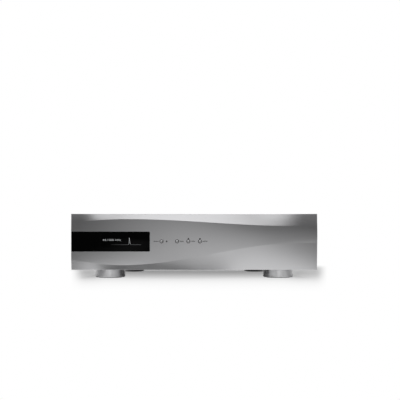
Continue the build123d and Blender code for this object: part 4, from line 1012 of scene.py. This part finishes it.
class CLOCK_OT_display(bpy.types.Operator):
    """Fit the black window with its lit digits and clock pulse"""

    bl_idname = "clock.display"
    bl_label = "Display"

    def execute(self, context):
        (left, right), heights = WINDOW
        glass = box_mesh(
            (left, right - GLASS_GAP), (GLASS_FRONT_Y, GLASS_BACK_Y), widened(above_foot(heights), -GLASS_GAP)
        )
        round_window_end(glass, WINDOW_CORNER - GLASS_GAP)
        round_edges(
            glass, GLASS_ROUND, angle=70.0,
            where=lambda edge: all(vert.co.y < GLASS_FRONT_Y + 0.01 for vert in edge.verts),
        )
        finish_piece(glass, "display_window", "glass", ("display_glass",))
        mark_y = GLASS_FRONT_Y - PRINT_LIFT
        digits = text_mesh(context.scene.clock_panel.display_digits, DIGITS_HEIGHT, DIGITS_WEIGHT)
        low, high = min(vert.co.x for vert in digits.verts), max(vert.co.x for vert in digits.verts)
        stretch = Matrix.Diagonal((DIGITS_WIDTH / (high - low), 1.0, 1.0, 1.0))
        bmesh.ops.transform(
            digits, matrix=stretch @ Matrix.Translation((-low, 0.0, 0.0)), verts=digits.verts,
        )
        set_on(digits, FRONT_FACING, (DIGITS_START[0], mark_y, FOOT_HEIGHT + DIGITS_START[1]))
        pulse = set_on(strip_mesh(PULSE, PULSE_WIDTH), FRONT_FACING, (0.0, mark_y, FOOT_HEIGHT))
        finish_piece(joined(digits, pulse), "display_marks", "glow")
        dress_nodes({
            "display_panel": "lens", "control_board": "board", "button_switches": "black_plastic",
            "status_leds": "lens",
        })
        return {"FINISHED"}


class CLOCK_OT_buttons(bpy.types.Operator):
    """Turn the four buttons, their bushes and the three indicator lenses"""

    bl_idname = "clock.buttons"
    bl_label = "Buttons and lenses"

    def execute(self, context):
        dish = context.scene.clock_panel.button_dish / MM
        colour = tuple(context.scene.clock_finishes.aluminium)
        collar_y = WALL_BACK_Y + BUTTON_GAP
        collar_end_y = collar_y + COLLAR_DEPTH
        rim = BUTTON_RADIUS - BUTTON_RIM
        bushes = []
        for name, x in BUTTON_PLACES.items():
            face_y = band_y(x, CONTROL_Z) - BUTTON_SETBACK
            outline = [(rim * step / 6, face_y + dish * (1 - (step / 6) ** 2)) for step in range(7)]
            outline += outline_corner(BUTTON_RADIUS, face_y, BUTTON_EDGE, 30)
            outline += [
                (BUTTON_RADIUS, collar_y), (COLLAR_RADIUS, collar_y), (COLLAR_RADIUS, collar_end_y),
                (PLUNGER_RADIUS, collar_end_y), (PLUNGER_RADIUS, PLUNGER_END_Y), (0.0, PLUNGER_END_Y),
            ]
            FINISHES[name] = turned_finish(
                f"turned_{name}", colour, 0.23, (x, 0.0, CONTROL_Z), (0.0, 1.0, 0.0), pitch=0.09,
                depth=0.0015,
            )
            button = turned_along_y(outline, x, CONTROL_Z, 72)
            finish_piece(button, f"turned_{name}", name, (name,), body=name)
            face_y = band_y(x, CONTROL_Z) + BUSH_SETBACK
            outline = [
                (BUSH_INNER, face_y + BUSH_CHAMFER), (BUSH_INNER + BUSH_CHAMFER, face_y),
                (BUSH_OUTER, face_y), (BUSH_OUTER, face_y + BUSH_DEPTH), (BUSH_INNER, face_y + BUSH_DEPTH),
            ]
            bushes.append(turned_along_y(outline, x, CONTROL_Z, 64, closed=True))
        finish_piece(joined(*bushes), "button_bushes", "black_plastic")
        lenses = []
        for x, height in LENS_PLACES:
            z = FOOT_HEIGHT + height
            face_y = band_y(x, z) + LENS_SETBACK
            outline = [(radius, face_y + depth) for radius, depth in LENS_DOME]
            outline += [(LENS_RADIUS, LENS_END_Y), (0.0, LENS_END_Y)]
            lenses.append(turned_along_y(outline, x, z, 40))
        finish_piece(joined(*lenses), "indicator_lenses", "lens", ("status_lenses",))
        return {"FINISHED"}


class CLOCK_OT_front_marks(bpy.types.Operator):
    """Print the small generic marks beside the buttons"""

    bl_idname = "clock.front_marks"
    bl_label = "Front marks"

    def execute(self, context):
        marks = []
        for words, start in FRONT_NUMBERS.items():
            bm = text_mesh(words, FRONT_NUMBER_HEIGHT, FRONT_NUMBER_WEIGHT)
            bmesh.ops.translate(bm, vec=(start, CONTROL_HEIGHT, 0.0), verts=bm.verts)
            marks.append(bm)
        marks.append(level_strip(*DASH, CONTROL_HEIGHT))
        marks += [level_strip(*MENU_LINES, height) for height in MENU_LINE_HEIGHTS]
        radius, width = LENS_COLLAR
        for x, height in LENS_PLACES:
            clear = -50 if height > CONTROL_HEIGHT else -90
            turns = [turn * DEG for turn in range(clear, 181 - clear, 20)]
            ring = [(x + radius * math.cos(turn), height + radius * math.sin(turn)) for turn in turns]
            marks.append(strip_mesh(ring, width))
        bm = set_on(joined(*marks), FRONT_FACING, (0.0, 0.0, FOOT_HEIGHT))
        for vert in bm.verts:
            vert.co.y = band_y(vert.co.x, vert.co.z) - PRINT_LIFT
        finish_piece(bm, "front_marks", "ink")
        return {"FINISHED"}


class CLOCK_OT_case(bpy.types.Operator):
    """Round the edges of the case plates and give the screws their finish"""

    bl_idname = "clock.case"
    bl_label = "Case"

    def execute(self, context):
        for node, name in (("top_cover", "cover_plate"), ("left_side_panel", "left_side"),
                           ("right_side_panel", "right_side"), ("rear_panel", "rear_plate")):
            rounded_copy(node, name, "case", width=0.4, shortest=12.0)
        dress_nodes({
            "base_plate": "inner_aluminium", "front_subframe": "inner_aluminium",
            "inner_partition": "inner_aluminium", "case_screws": "screw",
        })
        return {"FINISHED"}


class CLOCK_OT_feet(bpy.types.Operator):
    """Turn the four feet"""

    bl_idname = "clock.feet"
    bl_label = "Feet"

    def execute(self, context):
        colour = tuple(context.scene.clock_finishes.foot_aluminium)
        outline = [(WELL_RADIUS, WELL_Z), (WELL_RADIUS, PAD_Z), (PAD_RADIUS, PAD_Z), (PAD_RADIUS, FOOT_LIFT)]
        outline += outline_corner(FOOT_RADIUS, FOOT_LIFT, FOOT_CURVE, 15)
        outline += [(FOOT_RADIUS - FOOT_TAPER, CASE_BOTTOM), (FOOT_BORE, CASE_BOTTOM), (FOOT_BORE, WELL_Z)]
        for name, (x, y) in FOOT_PLACES.items():
            bm = turned_mesh(outline, (x, y, 0.0), (0, 0, 1), 128, closed=True)
            FINISHES[name] = turned_finish(
                f"turned_{name}", colour, 0.31, (x, y, 0.0), (0.0, 0.0, 1.0), pitch=0.5, depth=0.0005,
                streak=0.85,
            )
            finish_piece(bm, f"turned_{name}", name, (name,))
        dress_nodes({"foot_pads": "rubber", "foot_screws": "screw"})
        return {"FINISHED"}


class CLOCK_OT_sockets(bpy.types.Operator):
    """Turn the nine coaxial sockets with their threads and lugs, and number the outputs"""

    bl_idname = "clock.sockets"
    bl_label = "Sockets"

    def execute(self, context):
        thread = [
            (radius, THREAD_START - THREAD_PITCH * turn - drop)
            for turn in range(THREAD_TURNS)
            for radius, drop in (THREAD_CREST, THREAD_ROOT)
        ]
        outline = [(radius, REAR_Y + place) for radius, place in SOCKET_BARREL + thread + SOCKET_BODY]
        prints = []
        for name, (x, z) in SOCKET_PLACES.items():
            shell = turned_along_y(outline, x, z, 72, closed=True)
            lugs = [turned_mesh(LUG, (x, LUG_Y, z), (side, 0, 0), 32) for side in (-1, 1)]
            finish_piece(joined(shell, *lugs), f"{name}_shell", "nickel", (name,))
            if name.startswith("clock_output_"):
                bm = text_mesh(name[-1], REAR_NUMBER_HEIGHT, REAR_NUMBER_WEIGHT, "CENTER")
                prints.append(set_on(bm, REAR_FACING, (x, REAR_Y + PRINT_LIFT, z + REAR_NUMBER_RISE)))
        rounded_copy("socket_nuts", "hexagon_nuts", "nickel", width=0.3, shortest=1.5)
        dress_nodes({"socket_insulators": "white_plastic", "socket_contacts": "gold"})
        prints += [self.group_frame(*limits) for limits in GROUP_FRAMES]
        finish_piece(joined(*prints), "output_numbers", "ink")
        return {"FINISHED"}

    def group_frame(self, left, right, points):
        """A thin frame round a group of sockets, with an arrow that points out of the unit or into it."""
        bottom, top = GROUP_HEIGHTS
        outline = [(left, bottom), (right, bottom), (right, top), (left, top), (left, bottom)]
        middle, arrow_z = (left + right) / 2, bottom + ARROW_RISE
        corners = [(middle - ARROW_TIP * points, arrow_z)]
        corners += [(middle + ARROW_HALF * points, arrow_z + side * ARROW_HALF) for side in (1, -1)]
        arrow = bmesh.new()
        arrow.faces.new([arrow.verts.new((x, z, 0.0)) for x, z in corners])
        flat = joined(strip_mesh(outline, GROUP_LINE), arrow)
        for vert in flat.verts:
            vert.co.x = -vert.co.x
        return set_on(flat, REAR_FACING, (0.0, REAR_Y + PRINT_LIFT, 0.0))


class CLOCK_OT_port(bpy.types.Operator):
    """Fit the control port with its nine contact holes"""

    bl_idname = "clock.port"
    bl_label = "Control port"

    def execute(self, context):
        rounded_copy("serial_port_shell", "port_shell", "nickel", width=0.12, shortest=1.0)
        radius, depth = PORT_HOLE
        outline = rod(radius, PORT_FACE_Y + 1.0, PORT_FACE_Y - depth)
        holes = [
            turned_along_y(outline, PORT_X + PORT_PITCH * (place - (count - 1) / 2), MID_Z + height, 20)
            for height, count in PORT_ROWS
            for place in range(count)
        ]
        bm = cut(node_mesh("serial_port_insulator"), [joined(*holes)])
        finish_piece(bm, "port_insulator", "black_plastic", ("serial_port_insulator",))
        rounded_copy("jack_posts", "port_posts", "steel", width=0.2, shortest=1.0)
        return {"FINISHED"}


class CLOCK_OT_mains_inlet(bpy.types.Operator):
    """Dress the mains inlet, its fuse drawer and its rocker with the two switch marks"""

    bl_idname = "clock.mains_inlet"
    bl_label = "Mains inlet"

    def execute(self, context):
        for node, name, width, shortest, body in (
            ("mains_inlet", "inlet_housing", 0.25, 2.0, "case"),
            ("fuse_drawer", "drawer_moulding", 0.2, 1.0, "fuse_drawer"),
            ("power_rocker", "rocker_paddle", 0.4, 2.0, "power_rocker"),
        ):
            rounded_copy(node, name, "black_plastic", width, shortest, body)
        dress_nodes({"inlet_pins": "nickel", "inlet_screws": "screw", "fuse": "tube"})
        nose_y = REAR_Y + ROCKER_NOSE * math.cos(ROCKER_TILT * DEG)
        nose_z = MID_Z + ROCKER_NOSE * math.sin(ROCKER_TILT * DEG)
        reach, width, rise_by = ROCKER_STROKE
        stroke = strip_mesh([(0.0, -reach), (0.0, reach)], width)
        set_on(stroke, REAR_FACING, (ROCKER_X, nose_y + ROCKER_MARK_LIFT, nose_z + rise_by))
        radius, width, rise_by = ROCKER_RING
        turns = [math.tau * step / 40 for step in range(41)]
        ring = strip_mesh([(radius * math.cos(turn), radius * math.sin(turn)) for turn in turns], width)
        lean = Matrix.Rotation(2 * ROCKER_TILT * DEG, 4, "X")
        face = Matrix.Translation((ROCKER_X, nose_y, nose_z)) @ lean
        face = face @ Matrix.Translation((0.0, ROCKER_MARK_LIFT, rise_by))
        bmesh.ops.transform(ring, matrix=face @ REAR_FACING, verts=ring.verts)
        finish_piece(
            joined(stroke, ring), "rocker_marks", "white_ink", body="power_rocker",
        )
        return {"FINISHED"}


class CLOCK_OT_interior(bpy.types.Operator):
    """Give the parts inside the case their finishes"""

    bl_idname = "clock.interior"
    bl_label = "Interior"

    def execute(self, context):
        dress_nodes({
            "clock_board": "board", "power_supply_board": "board", "crystal_ovens": "steel",
            "clock_chips": "black_plastic", "board_standoffs": "steel", "board_screws": "screw",
            "reservoir_capacitors": "black_plastic", "regulator_heatsink": "inner_aluminium",
            "regulators": "black_plastic", "mains_transformer": "winding", "transformer_plate": "steel",
            "transformer_bolt": "steel", "ribbon_cable": "ribbon",
        })
        return {"FINISHED"}


class CLOCK_OT_stage(bpy.types.Operator):
    """Set the floor, the white surroundings, the drape, the lamps and the camera"""

    bl_idname = "clock.stage"
    bl_label = "Stage"

    def execute(self, context):
        scene = context.scene
        stage = scene.clock_stage
        self.make_floor(stage)
        self.make_world(scene)
        self.make_drape(stage)
        for name, lamp in LAMPS.items():
            self.make_lamp(stage, name, *lamp)
        camera = link_object("camera", bpy.data.cameras.new("camera"))
        camera.location = (0.0, DATUM_Y * MM - stage.camera_distance, stage.camera_height)
        camera.rotation_euler = (math.pi / 2, 0.0, 0.0)
        camera.data.sensor_width = 36.0
        camera.data.lens = stage.lens
        camera.data.shift_x, camera.data.shift_y = CAMERA_SHIFT
        camera.data.clip_end = 50.0
        scene.camera = camera
        scene.view_settings.view_transform = "Standard"
        return {"FINISHED"}

    def seen_floor(self, tree, across, back, eye_y):
        """White share of the floor for the camera: less in the shadow under the unit and next to its feet.
        Where the white is taken away the floor's own lit shade shows; the fan shape and the darker ends
        beside the unit are painted shadow.
        """
        fan = calc(tree, "DIVIDE", across, calc(tree, "SUBTRACT", back, eye_y))
        under = plateau(tree, fan, SHADOW_FAN)
        length = calc(tree, "ABSOLUTE", calc(tree, "SUBTRACT", back, SHADOW_MIDDLE_Y))
        dark = rise(tree, length, *SHADOW_FADE)
        # painted shadow: the floor darkens in strips beside the unit's ends, where nothing shades it
        ends = rise(tree, calc(tree, "ABSOLUTE", fan), *PAINTED_SHADOW_ENDS)
        held = calc(tree, "MULTIPLY", dark, calc(tree, "ADD", ends, SHADOW_LEVEL))
        clear = calc(tree, "SUBTRACT", 1.0, calc(tree, "MULTIPLY", under, held))
        contact = rise(tree, distance_from_box(tree, *CONTACT_BOX), *CONTACT_FADE)
        return calc(tree, "MULTIPLY", clear, contact)

    def painted_floor_reflection(self, tree, across, back, eye_y, distance):
        """White share of the floor for the metal's glossy rays: a painted reflection of a white card in front
        of the unit, with a darker gap, and open floor round it.
        """
        ratio = calc(tree, "DIVIDE", across, calc(tree, "SUBTRACT", eye_y, back))
        on_panel = calc(tree, "MULTIPLY", ratio, distance)
        # painted reflection: a bright card with a darker gap, drawn on the floor for the metal's glossy rays
        # only
        gap = calc(tree, "MULTIPLY", plateau(tree, on_panel, PAINTED_REFLECTION_GAP), rise(tree, back, *PAINTED_REFLECTION_GAP_START))
        card = plateau(tree, on_panel, PAINTED_REFLECTION_CARD, PAINTED_REFLECTION_LEVEL)
        lit = calc(tree, "MULTIPLY", card, calc(tree, "SUBTRACT", 1.0, gap))
        in_front = calc(tree, "MULTIPLY", rise(tree, back, *PAINTED_REFLECTION_START), lit)
        around = rise(tree, distance_from_box(tree, *OPEN_FLOOR_BOX), *OPEN_FLOOR_FADE)
        open_floor = calc(tree, "MULTIPLY", around, rise(tree, back, *OPEN_FLOOR_START))
        return calc(tree, "MAXIMUM", in_front, open_floor)

    def make_floor(self, stage):
        """A pale floor that keeps the shadow under the unit, partly painted, and runs out to white; the metal
        sees a painted reflection in it.
        """
        bm = bmesh.new()
        bmesh.ops.create_circle(bm, cap_ends=True, radius=stage.floor_reach, segments=128)
        bmesh.ops.scale(bm, vec=(1.0, FLOOR_STRETCH, 1.0), verts=bm.verts)
        middle = (FLOOR_MIDDLE_X, FLOOR_STRETCH * stage.floor_reach + FLOOR_NEAR_Y, 0.0)
        bmesh.ops.translate(bm, vec=middle, verts=bm.verts)
        floor = link_mesh("floor", bm)
        material, tree, shader = blank_finish("floor_paper", tuple(stage.floor), 0.9, Specular_IOR_Level=0.0)
        across, back, _ = place_parts(tree)
        distance, panel_y = stage.camera_distance, DATUM_Y * MM
        seen = self.seen_floor(tree, across, back, panel_y - distance)
        painted_reflection = self.painted_floor_reflection(tree, across, back, panel_y + distance, distance)
        rays = add_node(tree, "ShaderNodeLightPath")
        # painted reflection: glossy rays see the painted card pattern, not the floor the camera sees
        glossy = calc(tree, "MULTIPLY", rays.outputs["Is Glossy Ray"], painted_reflection)
        share = calc(tree, "MULTIPLY_ADD", seen_directly(tree, rays), seen, glossy)
        white = add_node(tree, "ShaderNodeEmission", {"Color": WHITE, "Strength": 1.0})
        mixed = add_node(tree, "ShaderNodeMixShader", {0: share, 1: shader.outputs[0], 2: white.outputs[0]})
        tree.links.new(mixed.outputs[0], tree.nodes["Material Output"].inputs["Surface"])
        floor.data.materials.append(material)

    def make_world(self, scene):
        """White surroundings: full white to the rays that see them, softer as light."""
        scene.world, tree = new_tree(bpy.data.worlds, "studio")
        background = tree.nodes["Background"]
        background.inputs["Color"].default_value = WHITE
        rays = add_node(tree, "ShaderNodeLightPath")
        indirect = between(tree, rays.outputs["Is Glossy Ray"], *MIRRORED_WORLD, 0.0, 1.0)
        level = calc(tree, "MAXIMUM", seen_directly(tree, rays), indirect)
        tree.links.new(level, background.inputs["Strength"])

    def make_drape(self, stage):
        """A half dome that glows by itself like grey cloth, brighter in its middle, which only the metal
        mirrors; it lights the unit like a dim lamp.
        """
        bm = bmesh.new()
        bmesh.ops.create_uvsphere(bm, u_segments=64, v_segments=32, radius=DRAPE_REACH)
        bmesh.ops.bisect_plane(
            bm, geom=bm.verts[:] + bm.edges[:] + bm.faces[:], plane_co=(0.0, DRAPE_CUT_Y, 0.0),
            plane_no=(0.0, 1.0, 0.0), clear_outer=True,
        )
        drape = link_mesh("drape", bm)
        material, tree = new_tree(bpy.data.materials, "drape_cloth")
        tree.nodes.remove(tree.nodes["Principled BSDF"])
        across, back, height = place_parts(tree, stretch=[1.0 / DRAPE_REACH] * 3)
        sideways = calc(tree, "ABSOLUTE", calc(tree, "SUBTRACT", across, DRAPE_MIDDLE_X))
        half_width = between(tree, height, *DRAPE_HALF_WIDTH)
        bell = rise(tree, sideways, 0.0, half_width, top=0.0, base=1.0)
        levels = colour_ramp(
            tree, between(tree, height, 0.0, 1.0, *DRAPE_HEIGHTS),
            [(place, [level] * 3) for place, level in DRAPE_LEVELS],
        )
        sides = rise(tree, back, *DRAPE_SIDES, base=stage.drape_level)
        level = calc(tree, "ADD", calc(tree, "MULTIPLY", levels, bell), sides)
        # the drape's brightness is its own glow, not light falling on it
        cloth = add_node(tree, "ShaderNodeEmission", {"Color": WHITE, "Strength": level})
        tree.links.new(cloth.outputs[0], tree.nodes["Material Output"].inputs["Surface"])
        drape.data.materials.append(material)
        drape.visible_camera = False
        drape.visible_shadow = False

    def make_lamp(self, stage, name, place, aim, size, share):
        """A soft area lamp whose face has a share of the stage's brightness."""
        light = bpy.data.lights.new(name, "AREA")
        light.shape = "RECTANGLE"
        light.size, light.size_y = size
        light.energy = share * stage.lamp_level * math.pi * size[0] * size[1]
        lamp = link_object(name, light)
        lamp.location = place
        lamp.rotation_mode = "QUATERNION"
        lamp.rotation_quaternion = (Vector(aim) - Vector(place)).to_track_quat("-Z", "Y")
        lamp.visible_camera = False


OPERATORS = (
    CLOCK_OT_finishes, CLOCK_OT_front_panel, CLOCK_OT_display, CLOCK_OT_buttons, CLOCK_OT_front_marks,
    CLOCK_OT_case, CLOCK_OT_feet, CLOCK_OT_sockets, CLOCK_OT_port, CLOCK_OT_mains_inlet, CLOCK_OT_interior,
    CLOCK_OT_stage,
)


class CLOCK_PT_sidebar(bpy.types.Panel):
    """The clock's operators and settings"""

    bl_idname = "CLOCK_PT_sidebar"
    bl_label = "Audio Master Clock"
    bl_space_type = "VIEW_3D"
    bl_region_type = "UI"
    bl_category = "Clock"

    def draw(self, context):
        for operator in OPERATORS:
            self.layout.operator(operator.bl_idname)
        for group in (context.scene.clock_finishes, context.scene.clock_panel, context.scene.clock_stage):
            for key in group.__annotations__:
                self.layout.prop(group, key)


GROUPS = {"clock_finishes": ClockFinishes, "clock_panel": ClockPanelSizes, "clock_stage": ClockStage}


def register():
    """Register the classes and put the settings on the scene."""
    for cls in (*GROUPS.values(), *OPERATORS, CLOCK_PT_sidebar):
        bpy.utils.register_class(cls)
    for name, group in GROUPS.items():
        setattr(bpy.types.Scene, name, PointerProperty(type=group))


def unregister():
    """Take the settings off the scene and unregister the classes."""
    for name in GROUPS:
        delattr(bpy.types.Scene, name)
    for cls in reversed((*GROUPS.values(), *OPERATORS, CLOCK_PT_sidebar)):
        bpy.utils.unregister_class(cls)


def main():
    """Build every piece."""
    register()
    for operator in OPERATORS:
        group, name = operator.bl_idname.split(".")
        getattr(getattr(bpy.ops, group), name)()


if __name__ == "__main__":
    main()
